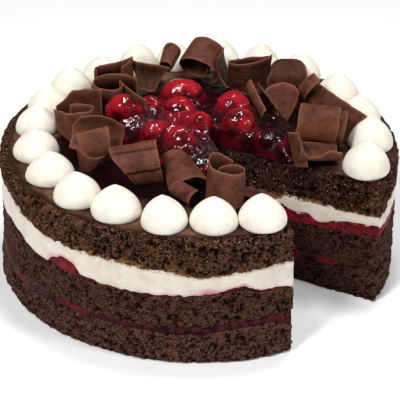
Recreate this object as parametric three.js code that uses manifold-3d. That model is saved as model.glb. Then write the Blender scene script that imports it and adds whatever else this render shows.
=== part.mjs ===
// Black forest cake with one slice taken out: three chocolate sponges, two cherry layers, a whipped
// cream filling, a chocolate glaze, a ring of piped cream dollops, cherries set in gel, and curls.
// Millimetres, +Z up. The origin is on the cake's axis at its base, and the front is toward -Y.
// An angle "phi" is measured at the axis, from -Y (the front) toward +X, in degrees.
import * as THREE from 'three';
import Module from 'manifold-3d';
import { mergeVertices } from 'three/addons/utils/BufferGeometryUtils.js';

// Driving dimensions
const CAKE_RADIUS = 110;
const SPONGE_TOP = 73;
const SLICE_FROM = 26; // phi of the cut face on the near side of the missing slice
const SLICE_TO = 61.6; // phi of the cut face on its far side
const GAP = 0.3; // clearance kept between touching pieces
const LAYER_STEPS = 44; // facets round the cake that is left
const GLAZE = { radius: 104.6, bottom: SPONGE_TOP + GAP, top: SPONGE_TOP + 1.3 };
const REST_Z = GLAZE.top + GAP; // what stands on the glaze starts here
const CREAM_INSET = 0.4;
const JAM_INSET = 0.8;
const CURL_THICKNESS = 1.3;
const CURL_STEP = 26; // degrees of roll for each facet of a curl
const CURL_ROWS = 2; // facets across a curl
const DOLLOP_SIDES = 12;
const CHERRY_SIDES = [10, 7]; // facets round and over a cherry

const rad = THREE.MathUtils.degToRad;
const lerp = THREE.MathUtils.lerp;
const smooth = THREE.MathUtils.smoothstep;
const wasm = await Module();
wasm.setup();

// ---------------------------------------------------------------- solids and booleans

/** A BufferGeometry from rows of points and triangles. */
function geometryOf(points, triangles) {
  const geometry = new THREE.BufferGeometry();
  geometry.setAttribute('position', new THREE.Float32BufferAttribute(points.flat(), 3));
  geometry.setIndex(triangles.flat());
  return geometry;
}

/** The geometry with only its positions, and its shared vertices merged. */
function welded(geometry) {
  geometry.deleteAttribute('normal');
  geometry.deleteAttribute('uv');
  return mergeVertices(geometry, 1e-4);
}

/** A closed geometry as a solid for boolean cuts. */
function solidOf(geometry) {
  const vertProperties = new Float32Array(geometry.attributes.position.array);
  const triVerts = new Uint32Array(geometry.index.array);
  return new wasm.Manifold(new wasm.Mesh({ numProp: 3, vertProperties, triVerts }));
}

/** The largest connected piece of a solid, as a geometry. */
function largestPiece(solid) {
  const pieces = solid.decompose().sort((a, b) => b.volume() - a.volume());
  const mesh = pieces[0].getMesh();
  const geometry = new THREE.BufferGeometry();
  geometry.setAttribute('position', new THREE.Float32BufferAttribute(mesh.vertProperties, 3));
  geometry.setIndex(Array.from(mesh.triVerts));
  return geometry;
}

/** A solid block between two corners. */
function block(low, high) {
  const size = high.map((value, axis) => value - low[axis]);
  const box = new THREE.BoxGeometry(...size);
  box.translate(...low.map((value, axis) => value + size[axis] / 2));
  return solidOf(welded(box));
}

// ---------------------------------------------------------------- layers of the cake

/** A smooth value between neighbouring [phi, value] knots. */
function knotted(knots, phi) {
  const next = knots.findIndex(([angle]) => angle >= phi);
  if (next <= 0) return next === 0 ? knots[0][1] : knots.at(-1)[1];
  const [[fromPhi, from], [toPhi, to]] = [knots[next - 1], knots[next]];
  return lerp(from, to, smooth(phi, fromPhi, toPhi));
}

/** Radius of the cake's side: it swells low on its left, where the bottom sponge has spread. */
function sideRadius(phi, z) {
  const SPREAD = 2.4;
  const SPREAD_HEIGHT = 34;
  const left = Math.max(0, Math.cos(rad(phi - 272)));
  return CAKE_RADIUS + SPREAD * left ** 3 * (1 - smooth(z, 0, SPREAD_HEIGHT));
}

/**
 * The surfaces where two layers meet. Each has its height on the cake's axis, its height at mid
 * radius, and knots [phi, height] for the wavy line that it draws round the side.
 */
const SURFACES = {
  lowerJamBottom: {
    axis: 17.5, middle: 16,
    rim: [[61, 19], [120, 18], [200, 19], [270, 17], [302, 14.5], [315, 18.8], [338, 19], [349, 18.3],
      [361, 18], [365, 20], [370, 20.4], [376, 20.8], [380, 21.4], [386, 17.6]],
  },
  lowerJamTop: {
    axis: 20.5, middle: 18.6,
    rim: [[61, 22.5], [120, 22], [200, 22.5], [270, 21.5], [302, 19.6], [315, 22.3], [328, 22.3],
      [338, 21.6], [349, 21.2], [360, 22.3], [365, 23.2], [370, 24.3], [376, 25.3], [380, 25.3],
      [386, 22.9]],
  },
  upperJamBottom: {
    axis: 38.5, middle: 38.3,
    rim: [[61, 42], [80, 41], [110, 41.5], [230, 41.5], [270, 40], [288, 44], [296, 47], [301, 44],
      [307, 41.3], [313, 41.2], [317, 41], [320, 40.6], [323, 41], [327, 41.8], [336, 41.4], [343, 39.6],
      [350, 40.5], [359, 41.2], [363, 42.5], [369, 43.5], [373, 43.3], [377, 41.2], [386, 40]],
  },
  creamBottom: {
    axis: 44.5, middle: 42.4,
    rim: [[61, 47.4], [66, 46.4], [73, 47.5], [85, 45.5], [110, 43.5], [230, 43], [270, 42], [288, 46],
      [296, 48.5], [301, 45], [307, 42.3], [313, 42.4], [317, 47.5], [320, 49.5], [323, 49], [327, 43],
      [336, 42.5], [343, 40.6], [350, 41.5], [359, 42.2], [363, 45.5], [369, 47], [373, 45.5],
      [377, 42.2], [386, 41]],
  },
  creamTop: {
    axis: 54, middle: 51.8,
    rim: [[61, 52.6], [65, 53.2], [69, 57.5], [90, 57], [130, 57], [230, 57], [265, 62], [278, 65.5],
      [290, 63.5], [304, 59], [316, 56.5], [334, 57], [348, 55.4], [361, 52.2], [375, 54.8], [386, 56.5]],
  },
};
const INNER_RINGS = [40, 75, 97]; // radii, mm, at which every meeting surface has its facets

/** Height of a meeting surface at an angle and radius. */
function surfaceHeight({ axis, middle, rim }, phi, radius) {
  const MIDDLE_RADIUS = 75;
  const inner = lerp(axis, middle, Math.min(1, radius / MIDDLE_RADIUS));
  return lerp(inner, knotted(rim, phi), smooth(radius, 62, CAKE_RADIUS));
}

/** One edge of a layer's profile at phi, as [radius, height] from the axis out to the side. */
function surfaceProfile(surface, phi, inset, offset) {
  const inner = [0, ...INNER_RINGS].map((radius) => [radius, surfaceHeight(surface, phi, radius) + offset]);
  const rimZ = surfaceHeight(surface, phi, CAKE_RADIUS) + offset;
  const side = sideRadius(phi, rimZ);
  const [lastRadius, lastZ] = inner.at(-1);
  const slope = (rimZ - lastZ) / (side - lastRadius);
  return [...inner, [side - inset, rimZ - slope * inset]];
}

/**
 * A closed solid swept round the cake from one cut face to the other. Its profile may change on
 * the way: it is a loop of [radius, height] points that starts and ends on the axis. Every facet
 * pair is split from its inner corner outward, so that layers that meet have matching facets.
 */
function sectorSolid(profileAt, steps = LAYER_STEPS) {
  const start = SLICE_TO;
  const sweep = 360 - (SLICE_TO - SLICE_FROM);
  const first = profileAt(start);
  const free = first.length - 2;
  const points = [[0, 0, first[0][1]], [0, 0, first.at(-1)[1]]];
  const triangles = [];
  const index = (step, k) => {
    if (k === 0) return 0;
    return k === free + 1 ? 1 : 2 + step * free + k - 1;
  };
  for (let step = 0; step <= steps; step++) {
    const phi = start + (sweep * step) / steps;
    const along = [Math.sin(rad(phi)), -Math.cos(rad(phi))];
    for (const [radius, z] of profileAt(phi).slice(1, -1)) {
      points.push([along[0] * radius, along[1] * radius, z]);
    }
  }
  for (let step = 0; step < steps; step++) {
    for (let k = 0; k <= free; k++) {
      const [a, b] = [index(step, k), index(step, k + 1)];
      const [c, d] = [index(step + 1, k + 1), index(step + 1, k)];
      const outward = first[k + 1][0] > first[k][0];
      const halves = outward ? [[a, c, b], [a, d, c]] : [[a, d, b], [b, d, c]];
      triangles.push(...halves.filter(([p, q, r]) => p !== q && q !== r && r !== p));
    }
  }
  const capAt = (step, phi, flip) => {
    const outline = profileAt(phi).map(([radius, z]) => new THREE.Vector2(radius, z));
    for (const [a, b, c] of THREE.ShapeUtils.triangulateShape(outline, [])) {
      const face = [index(step, a), index(step, b), index(step, c)];
      triangles.push(flip ? face : face.reverse());
    }
  };
  capAt(0, start, true);
  capAt(steps, start + sweep, false);
  return geometryOf(points, triangles);
}

/** A layer between two meeting surfaces. */
function layer(bottom, top, inset) {
  return sectorSolid((phi) => [
    ...surfaceProfile(bottom, phi, inset, GAP / 2),
    ...surfaceProfile(top, phi, inset, -GAP / 2).reverse(),
  ]);
}

/** The bottom sponge, flat underneath. */
function bottomSponge() {
  return sectorSolid((phi) => [
    [0, 0],
    ...INNER_RINGS.map((radius) => [radius, 0]),
    [sideRadius(phi, 0) - 1.2, 0],
    [sideRadius(phi, 0), 2],
    ...surfaceProfile(SURFACES.lowerJamBottom, phi, 0, -GAP / 2).reverse(),
  ]);
}

/** The top sponge: its upper edge is a rounded crumb shoulder that stands round the glaze. */
function topSponge() {
  return sectorSolid((phi) => [
    ...surfaceProfile(SURFACES.creamTop, phi, 0, GAP / 2),
    [CAKE_RADIUS, SPONGE_TOP - 2.5],
    [CAKE_RADIUS - 1.6, SPONGE_TOP],
    [CAKE_RADIUS - 4, SPONGE_TOP + 0.9],
    [GLAZE.radius + GAP, SPONGE_TOP],
    [0, SPONGE_TOP],
  ]);
}

/** The thin chocolate glaze over the top sponge. */
function glaze() {
  return sectorSolid(() => [
    [0, GLAZE.bottom],
    [GLAZE.radius, GLAZE.bottom],
    [GLAZE.radius - 0.8, GLAZE.top],
    [0, GLAZE.top],
  ]);
}

// ---------------------------------------------------------------- dollops and cherries

/** Profile of a piped dollop for a radius and height of 1, as [radius, height] points. */
const DOLLOP_PROFILE = [
  [0, 0], [0.95, 0], [1, 0.1], [0.97, 0.28], [0.84, 0.5], [0.58, 0.72], [0.28, 0.9], [0, 1],
];

/** The ring of dollops: phi, distance from the axis, radius and height of each. */
const DOLLOPS = [
  { phi: 19.4, out: 96.5, radius: 12.1, height: 16.6 },
  { phi: 4.7, out: 93.3, radius: 12.2, height: 16 },
  { phi: -10.6, out: 93.8, radius: 12, height: 16.1 },
  { phi: -27, out: 92, radius: 12.5, height: 16.7 },
  { phi: -42.7, out: 92, radius: 12.3, height: 16.2 },
  { phi: -60.3, out: 90.1, radius: 12.5, height: 15.4 },
  { phi: -78.2, out: 90, radius: 12.5, height: 15.7 },
  { phi: -96.4, out: 90.9, radius: 11.8, height: 15.4 },
  { phi: -112.4, out: 92.5, radius: 12, height: 15.1 },
  { phi: -127.4, out: 94.5, radius: 12, height: 16.9 },
  { phi: -142.4, out: 94.6, radius: 11.6, height: 15.3 },
  { phi: -157.6, out: 95.6, radius: 11.8, height: 17.8 },
  { phi: -171.5, out: 96.3, radius: 11.1, height: 16.5 },
  { phi: -187.4, out: 96.3, radius: 12.3, height: 18.5 },
  { phi: -202.7, out: 96.2, radius: 11.8, height: 18 },
  { phi: -218.4, out: 96.9, radius: 11.9, height: 17.3 },
  { phi: -238.3, out: 94.3, radius: 12.2, height: 16.4 },
  { phi: -256.5, out: 93, radius: 11.8, height: 15.9 },
  { phi: -275.4, out: 94.5, radius: 12, height: 17.7 },
  { phi: -292.4, out: 96.4, radius: 12.2, height: 18.8 },
];

/** One dollop, turned on a lathe. */
function dollop({ phi, out, radius, height }, grow = 0) {
  const points = DOLLOP_PROFILE.map(([r, z]) => new THREE.Vector2(r * (radius + grow), z * (height + grow)));
  const geometry = welded(new THREE.LatheGeometry(points, DOLLOP_SIDES));
  geometry.rotateX(Math.PI / 2);
  geometry.translate(Math.sin(rad(phi)) * out, -Math.cos(rad(phi)) * out, REST_Z);
  return geometry;
}

/** The cherries on top: centre and radii of each. */
const CHERRIES = [
  { at: [-41.7, 12.4, 84.6], radii: [10.2, 10, 9.6] }, // far left, set apart
  { at: [-9.5, 33.8, 84.4], radii: [12.6, 9.4, 9] }, // the wide one at the back
  { at: [-10.6, 12, 84], radii: [9.2, 8.8, 8.8] },
  { at: [-27, 22.6, 82], radii: [6.4, 6.4, 6.4] },
  { at: [0.4, -3.4, 83.4], radii: [8, 8, 8] },
  { at: [-23.6, -9.6, 82], radii: [7.6, 7.6, 7.2] },
  { at: [-9.6, -19.4, 82.8], radii: [8.2, 8, 8] },
  { at: [19.4, 18.8, 84], radii: [9.4, 9.2, 9] },
  { at: [22, -4, 84.4], radii: [9.4, 9.4, 9.4] }, // the bright one by the cut
  { at: [39.6, -16.4, 81.4], radii: [7.6, 7, 6.6] }, // sunk in dark gel at the cut
];

/** One cherry, a slightly squashed ball. */
function cherry({ at, radii }, grow = 0) {
  const geometry = welded(new THREE.SphereGeometry(1, ...CHERRY_SIDES));
  geometry.rotateX(Math.PI / 2);
  geometry.scale(...radii.map((value) => value + grow));
  geometry.translate(...at);
  return geometry;
}

/** Outline of the cherry gel on the glaze, as knots [phi, radius]. */
const GEL_OUTLINE = [
  [61, 58], [69, 58], [85, 56], [104, 54], [130, 54], [149, 58], [172, 65], [186, 74], [197, 69], [210, 60],
  [223, 64], [241, 60], [259, 52], [275, 40], [302, 33], [327, 36], [346, 40], [373, 38], [386, 34],
];

/** The low mound of gel that holds the cherries, level in the middle and thin at its rim. */
function gelMound(grow = 0) {
  const DEPTH = 6.4;
  const STEPS = 34;
  return sectorSolid((phi) => {
    const radius = knotted(GEL_OUTLINE, phi) + grow;
    return [
      [0, REST_Z - grow],
      [radius - 0.6, REST_Z - grow],
      [radius, REST_Z + 1],
      [radius - 2.5, REST_Z + 2.8 + grow],
      [radius * 0.68, REST_Z + DEPTH * 0.88 + grow],
      [0, REST_Z + DEPTH + grow],
    ];
  }, STEPS);
}

// ---------------------------------------------------------------- chocolate curls

/**
 * The curls. Each is a strip of chocolate rolled about an axis:
 * at: a point of the axis level with the middle of the strip; axis: its azimuth from +X and its
 * elevation; radius: at the start and the end of the roll; turn: the angle where the roll starts
 * (0 is up, or away from the lean on an upright axis) and how far it goes; width: of the strip.
 * flare: how much wider the roll is at the axis's far end; taper: strip width at start and end;
 * lead: how far the strip creeps along the axis; oval: flattening; tighten: how early it tightens;
 * stuck: broken pieces of the same chocolate that are stuck to the curl.
 */
const CURLS = [
  { at: [-65, 6, 84.4], axis: [88, 90], radius: [13.5, 12], turn: [276, -174], width: 19.5 },
  { at: [-65.5, -6.5, 86], axis: [97, 80], radius: [13.5, 8], turn: [268, 306], width: 19.5, tighten: 4 },
  { at: [-55.5, -32.3, 91.1], axis: [-8, -8], radius: [13.5, 12.5], turn: [290, -88], width: 28.5 },
  {
    at: [-55.5, -27.3, 85], axis: [11, 10], radius: [10.5, 11], turn: [16, 126], width: 17,
    taper: [1.1, 0.65],
    stuck: [
      { at: [-55, -32.2, 79], axis: [88, 90], radius: [9.5, 7], turn: [-86, 112], width: 9, flare: 0.15 },
    ],
  },
  {
    at: [-30.5, -47.4, 83.5], axis: [2, 9], radius: [12, 15], turn: [-10, 134], width: 23.5,
    taper: [1.1, 0.8], lead: 4.5,
  },
  {
    at: [-12, -48.4, 76.5], axis: [-71, -22], radius: [7.5, 13], turn: [64, -146], width: 23,
    flare: 0.45,
    stuck: [
      { at: [-6.9, -71, 77.7], axis: [-50, 0], radius: [6, 3], turn: [-32, 144], width: 16, flare: 0.1 },
    ],
  },
  {
    at: [14.5, -78.4, 88.6], axis: [53, 85], radius: [10.8, 4.8], turn: [200, 442], width: 15,
    taper: [1.75, 1], tighten: 0.5,
  },
  { at: [34, -72, 54], axis: [-50, 11], radius: [24, 24], turn: [-12, 24], width: 27 },
  { at: [-49.4, 57, 83.5], axis: [90, 90], radius: [11, 11], turn: [22.5, 280], width: 17, oval: 0.4 },
  {
    at: [-48.5, 29.3, 85.8], axis: [82, 90], radius: [14, 4], turn: [108, 340], width: 16.5,
    tighten: 0.5,
    stuck: [
      { at: [-64.6, 31.3, 85.8], axis: [90, 90], radius: [20, 20], turn: [82, 16], width: 16.5 },
      { at: [1.3, 53.8, 86.5], axis: [90, 90], radius: [50, 50], turn: [-66.7, 29.7], width: 14 },
    ],
  },
  {
    at: [-30, 40.5, 97.5], axis: [-14, -4], radius: [21, 17.5], turn: [204, 48], width: 20.5,
    taper: [0.6, 1.15],
  },
  { at: [-17.5, 64, 93], axis: [76, 11], radius: [4, 4.5], turn: [150, 345], width: 17.5, flare: 0.3 },
  { at: [1.5, 70, 91], axis: [64, 35], radius: [6, 13], turn: [90, 428], width: 18, flare: -0.3 },
  { at: [31, 59, 90], axis: [-106, -2], radius: [20, 14.5], turn: [68, 112], width: 16.5 },
  { at: [30, 60.5, 85.5], axis: [105, 90], radius: [13, 13], turn: [70, -320], width: 17, oval: 0.45 },
  {
    at: [35.3, 29.3, 82.5], axis: [-70.6, -9.4], radius: [4.3, 4.6], turn: [14, 300], width: 29,
    flare: 0.25,
  },
  {
    at: [52.5, 67.5, 79.5], axis: [-6, 1], radius: [10, 11], turn: [-46, 140], width: 22.5,
    taper: [0.8, 1],
  },
  { at: [50, 14, 84.5], axis: [82, 90], radius: [9.5, 6], turn: [260, -110], width: 18.5, flare: 1.05 },
  { at: [71, 38, 83], axis: [-63, -14], radius: [15, 15], turn: [24, 74], width: 8.5 },
  { at: [96.5, 28, 45.5], axis: [-59, -1], radius: [48.5, 45], turn: [24, 23], width: 48.5 },
  { at: [67, -12, 88.5], axis: [-2, -6], radius: [8.5, 11], turn: [-22, 500], width: 21, lead: -6 },
  {
    at: [64.5, -29, 86], axis: [5, -5], radius: [8.5, 9], turn: [118, 132], width: 23, flare: -0.1,
    stuck: [{
      at: [61, -24.5, 82.5], axis: [98, 71], radius: [12.5, 10.5], turn: [-86, 48], width: 17.5,
      flare: 0.2,
    }],
  },
];

/** A point of a curl's middle surface: u runs along the roll and v across the strip, both 0 to 1. */
function curlPoint(curl, u, v) {
  const { at, axis, radius, turn, width, flare = 0, taper = [1, 1], lead = 0, oval = 1, tighten = 1 } = curl;
  const [azimuth, elevation] = axis.map(rad);
  const along = new THREE.Vector3(
    Math.cos(elevation) * Math.cos(azimuth), Math.cos(elevation) * Math.sin(azimuth), Math.sin(elevation));
  const up = new THREE.Vector3(
    -Math.sin(elevation) * Math.cos(azimuth), -Math.sin(elevation) * Math.sin(azimuth), Math.cos(elevation));
  const side = new THREE.Vector3(Math.sin(azimuth), -Math.cos(azimuth), 0);
  const angle = rad(turn[0] + turn[1] * u);
  const reach = lerp(radius[1], radius[0], Math.max(0, 1 - u) ** tighten) * (1 + flare * (v - 0.5));
  const across = width * lerp(...taper, u) * (v - 0.5) + lead * (u - 0.5);
  return new THREE.Vector3(...at)
    .addScaledVector(along, across)
    .addScaledVector(up, reach * oval * Math.cos(angle))
    .addScaledVector(side, reach * Math.sin(angle));
}

/** Unit normal of a curl's middle surface. */
function curlNormal(curl, u, v) {
  const STEP = 1e-3;
  const here = curlPoint(curl, u, v);
  const alongRoll = curlPoint(curl, u < 0.5 ? u + STEP : u - STEP, v).sub(here);
  const acrossStrip = curlPoint(curl, u, v < 0.5 ? v + STEP : v - STEP).sub(here);
  const sign = (u < 0.5 ? 1 : -1) * (v < 0.5 ? 1 : -1);
  return alongRoll.cross(acrossStrip).normalize().multiplyScalar(sign);
}

/** A curl as a closed solid; grow makes it that much larger all round. */
function curlGeometry(curl, grow = 0) {
  const steps = Math.max(3, Math.ceil(Math.abs(curl.turn[1]) / CURL_STEP));
  const length = rad(Math.abs(curl.turn[1])) * (curl.radius[0] + curl.radius[1]) * 0.5;
  const points = [];
  const half = CURL_THICKNESS / 2 + grow;
  for (const face of [1, -1]) {
    for (let i = 0; i <= steps; i++) {
      for (let j = 0; j <= CURL_ROWS; j++) {
        const u = i / steps + (i === 0 ? -grow : i === steps ? grow : 0) / length;
        const v = j / CURL_ROWS + (j === 0 ? -grow : j === CURL_ROWS ? grow : 0) / curl.width;
        const normal = curlNormal(curl, i / steps, j / CURL_ROWS);
        points.push(curlPoint(curl, u, v).addScaledVector(normal, face * half).toArray());
      }
    }
  }
  const row = CURL_ROWS + 1;
  const back = (steps + 1) * row;
  const triangles = [];
  const quad = (a, b, c, d) => triangles.push([a, b, c], [a, c, d]);
  for (let i = 0; i < steps; i++) {
    for (let j = 0; j < CURL_ROWS; j++) {
      const a = i * row + j;
      quad(a, a + row, a + row + 1, a + 1);
      quad(back + a, back + a + 1, back + a + row + 1, back + a + row);
    }
    const [near, far] = [i * row, i * row + CURL_ROWS];
    quad(near, back + near, back + near + row, near + row);
    quad(far, far + row, back + far + row, back + far);
  }
  for (let j = 0; j < CURL_ROWS; j++) {
    const [start, end] = [j, steps * row + j];
    quad(start, start + 1, back + start + 1, back + start);
    quad(end, back + end, back + end + 1, end + 1);
  }
  return geometryOf(points, triangles);
}

// ---------------------------------------------------------------- assembly

const FINISHES = {
  sponge: new THREE.MeshStandardMaterial({ color: 0x3a2018, roughness: 0.9, metalness: 0 }),
  jam: new THREE.MeshStandardMaterial({ color: 0x6b1022, roughness: 0.35, metalness: 0 }),
  cream: new THREE.MeshStandardMaterial({ color: 0xf3ead9, roughness: 0.55, metalness: 0 }),
  glaze: new THREE.MeshStandardMaterial({ color: 0x2c1b16, roughness: 0.35, metalness: 0 }),
  cherry: new THREE.MeshStandardMaterial({ color: 0x9c0c1c, roughness: 0.15, metalness: 0 }),
  gel: new THREE.MeshStandardMaterial({ color: 0x3a0714, roughness: 0.1, metalness: 0 }),
  curl: new THREE.MeshStandardMaterial({ color: 0x5a3329, roughness: 0.5, metalness: 0 }),
};

const cake = new THREE.Group();

/** Adds a named piece to the cake. */
function place(name, geometry, finish) {
  const mesh = new THREE.Mesh(geometry, FINISHES[finish]);
  mesh.name = name;
  cake.add(mesh);
}

/** Name of one of several like pieces. */
const numbered = (word, k) => `${word}_${String(k + 1).padStart(2, '0')}`;

place('sponge_bottom', bottomSponge(), 'sponge');
place('jam_lower', layer(SURFACES.lowerJamBottom, SURFACES.lowerJamTop, JAM_INSET), 'jam');
place('sponge_middle', layer(SURFACES.lowerJamTop, SURFACES.upperJamBottom, 0), 'sponge');
place('jam_upper', layer(SURFACES.upperJamBottom, SURFACES.creamBottom, JAM_INSET), 'jam');
place('cream_filling', layer(SURFACES.creamBottom, SURFACES.creamTop, CREAM_INSET), 'cream');
place('sponge_top', topSponge(), 'sponge');
place('glaze', glaze(), 'glaze');

let taken = block([-200, -200, -10], [200, 200, REST_Z]);
let round = taken;
DOLLOPS.forEach((spec, k) => {
  place(numbered('dollop', k), dollop(spec), 'cream');
  taken = taken.add(solidOf(dollop(spec, GAP)));
});
CHERRIES.forEach((spec, k) => {
  place(numbered('cherry', k), cherry(spec), 'cherry');
  round = round.add(solidOf(cherry(spec, GAP)));
});
place('cherry_gel', largestPiece(solidOf(gelMound()).subtract(round)), 'gel');
taken = taken.add(round).add(solidOf(gelMound(GAP)));

CURLS.forEach((spec, k) => {
  const sheets = [spec, ...(spec.stuck ?? [])];
  const [curl, hull] = [0, GAP].map((grow) => sheets
    .map((sheet) => solidOf(curlGeometry(sheet, grow)))
    .reduce((whole, sheet) => whole.add(sheet)));
  place(numbered('curl', k), largestPiece(curl.subtract(taken)), 'curl');
  taken = taken.add(hull);
});

export default cake;
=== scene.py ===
"""Looks of a black forest cake with one slice taken out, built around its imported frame.

Lengths in the classes below are millimetres, and meshes are written in metres. An angle phi is
measured at the cake's axis, from -Y (the front) toward +X, in degrees.
"""

import logging
import math
from collections.abc import Callable
from dataclasses import dataclass, field
from enum import Enum

import bpy
import numpy as np
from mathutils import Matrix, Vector


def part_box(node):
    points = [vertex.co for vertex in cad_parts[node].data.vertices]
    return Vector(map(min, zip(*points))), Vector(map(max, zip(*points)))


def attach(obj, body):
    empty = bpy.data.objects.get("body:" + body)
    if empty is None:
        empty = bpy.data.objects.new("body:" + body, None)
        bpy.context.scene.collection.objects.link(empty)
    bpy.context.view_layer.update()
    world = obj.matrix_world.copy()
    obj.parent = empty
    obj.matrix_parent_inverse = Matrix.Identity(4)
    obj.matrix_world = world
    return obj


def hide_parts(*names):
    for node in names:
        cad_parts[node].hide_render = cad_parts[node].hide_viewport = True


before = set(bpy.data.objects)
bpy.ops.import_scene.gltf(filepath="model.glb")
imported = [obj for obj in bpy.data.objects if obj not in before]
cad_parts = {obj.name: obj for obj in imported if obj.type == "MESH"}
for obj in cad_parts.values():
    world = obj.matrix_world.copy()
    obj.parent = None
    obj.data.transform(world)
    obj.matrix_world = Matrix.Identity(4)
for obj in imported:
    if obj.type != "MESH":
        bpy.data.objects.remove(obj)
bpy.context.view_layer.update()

Numbers = float | np.ndarray
Source = bpy.types.NodeSocket | float | tuple

LOG = logging.getLogger("cake")
MM = 0.001
BODY = "root"
SLICE_FROM = 26.0
SLICE_TO = 61.6
SLICE_MIDDLE = (SLICE_FROM + SLICE_TO) / 2.0
TURN_END = SLICE_FROM + 360.0
CAKE_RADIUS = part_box("sponge_top")[1].x / MM
GLAZE_OVERLAP = 0.3
REST_GAP = 0.1
SPONGE_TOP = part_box("glaze")[0].z / MM - GLAZE_OVERLAP
GLAZE_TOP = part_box("glaze")[1].z / MM
REST_Z = GLAZE_TOP + REST_GAP


def smooth(value: Numbers, low: Numbers, high: Numbers) -> Numbers:
    """Smooth step of a number or an array from 0 at low to 1 at high."""
    share = np.clip((np.asarray(value, float) - low) / (high - low), 0.0, 1.0)
    return share * share * (3.0 - 2.0 * share)


def falling(value: Numbers, low: Numbers, high: Numbers) -> Numbers:
    """Smooth step of a number or an array from 1 at low to 0 at high."""
    return 1.0 - smooth(value, low, high)


def lerp(start: Numbers, end: Numbers, share: Numbers) -> Numbers:
    """Straight mix of two numbers or arrays."""
    return start + (end - start) * share


def bell(distance: Numbers, reach: Numbers) -> Numbers:
    """1 at a distance of 0, falling away to nothing over about two reaches."""
    return np.exp(-((distance / reach) ** 2))


def outward(phi: Numbers) -> np.ndarray:
    """Unit vectors that point away from the axis at angles phi."""
    angle = np.radians(phi)
    return np.stack([np.sin(angle), -np.cos(angle), np.zeros_like(angle)], axis=-1)


def onward(phi: Numbers) -> np.ndarray:
    """Unit vectors along the side at angles phi, toward growing phi."""
    angle = np.radians(phi)
    return np.stack([np.cos(angle), np.sin(angle), np.zeros_like(angle)], axis=-1)


def polar(phi: Numbers, radius: Numbers, z: Numbers) -> np.ndarray:
    """Points from angles, distances from the axis and heights.

    Args:
        phi: angles in degrees.
        radius: distances from the axis.
        z: heights.

    Returns:
        Array of points, its last axis x, y, z.
    """
    phi, radius, z = np.broadcast_arrays(np.asarray(phi, float), radius, z)
    points = outward(phi) * radius[..., None]
    points[..., 2] = z
    return points


def bearings(points: np.ndarray) -> tuple[np.ndarray, np.ndarray]:
    """Distances of points from the axis, and their angles phi, counted on from the slice."""
    phi = np.degrees(np.arctan2(points[:, 0], -points[:, 1])) % 360.0
    return np.hypot(points[:, 0], points[:, 1]), np.where(phi < SLICE_MIDDLE, phi + 360.0, phi)


def apart(phi: np.ndarray, at: float) -> np.ndarray:
    """How far angles are from one angle, from -180 to 180."""
    return (phi - at + 180.0) % 360.0 - 180.0


def box_of(node: str) -> tuple[np.ndarray, np.ndarray]:
    """Middle and half size of a CAD node's box, in millimetres."""
    low, high = (np.array(corner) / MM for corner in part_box(node))
    return (low + high) / 2.0, (high - low) / 2.0


class Grain:
    """Seeded smooth noise in space, worked out for whole arrays of points."""

    WORD = 2**32
    SEED_FOLD = 2654435761
    CHANNEL_FOLD = 0x85EBCA6B
    FOLD = (0x8DA6B343, 0xD8163841, 0xCB1AB31F)
    ROUNDS = ((15, 0x2C1B3C6D), (12, 0x297A2D39))
    LAST_SHIFT = 15
    SPOT_CHANNEL = 5

    def __init__(self, seed: int) -> None:
        """Keeps the seed of the noise."""
        self.seed = np.uint32(seed * self.SEED_FOLD % self.WORD)

    def lattice(self, cell: np.ndarray, channel: int = 0) -> np.ndarray:
        """Random numbers from 0 to 1 for whole-number cells.

        Args:
            cell: whole-number coordinates, the last axis x, y, z.
            channel: picks one of several independent numbers for a cell.

        Returns:
            One number for each cell.
        """
        key = cell.astype(np.int64).astype(np.uint32)
        mixed = self.seed + np.uint32(channel * self.CHANNEL_FOLD % self.WORD)
        for axis, fold in enumerate(self.FOLD):
            mixed = mixed ^ (key[..., axis] * np.uint32(fold))
        for shift, factor in self.ROUNDS:
            mixed = (mixed ^ (mixed >> np.uint32(shift))) * np.uint32(factor)
        mixed = mixed ^ (mixed >> np.uint32(self.LAST_SHIFT))
        return mixed.astype(float) / self.WORD

    def value(self, points: np.ndarray, size: float, channel: int = 0) -> np.ndarray:
        """Smooth noise from -1 to 1.

        Args:
            points: where it is read, the last axis x, y, z.
            size: about how long its waves are.
            channel: picks one of several independent noises.

        Returns:
            One number for each point.
        """
        scaled = np.asarray(points, float) / size
        base = np.floor(scaled)
        part = scaled - base
        part = part * part * (3.0 - 2.0 * part)
        total = 0.0
        for corner in np.ndindex(2, 2, 2):
            weight = 1.0
            for axis in range(3):
                share = part[..., axis]
                weight = weight * (share if corner[axis] else 1.0 - share)
            total = total + weight * self.lattice(base + np.array(corner), channel)
        return total * 2.0 - 1.0

    def layered(self, points: np.ndarray, size: float, octaves: int = 3) -> np.ndarray:
        """Sum of noises, each half as long and half as strong as the one before.

        Args:
            points: where it is read, the last axis x, y, z.
            size: about how long the first noise's waves are.
            octaves: how many noises.

        Returns:
            One number for each point.
        """
        return sum(
            self.value(points, size / 2**level, level) / 2**level for level in range(octaves)
        )

    def cells(self, points: np.ndarray, size: float) -> np.ndarray:
        """Distance to the nearest of scattered spots.

        Args:
            points: where it is read, the last axis x, y, z.
            size: about how far apart the spots are.

        Returns:
            One distance for each point, in sizes.
        """
        scaled = np.asarray(points, float) / size
        base = np.floor(scaled)
        nearest = np.full(scaled.shape[:-1], np.inf)
        for step in np.ndindex(3, 3, 3):
            cell = base + np.array(step) - 1.0
            spot = np.stack([self.lattice(cell, axis + self.SPOT_CHANNEL) for axis in range(3)], axis=-1)
            nearest = np.minimum(nearest, np.linalg.norm(cell + spot - scaled, axis=-1))
        return nearest


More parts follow.
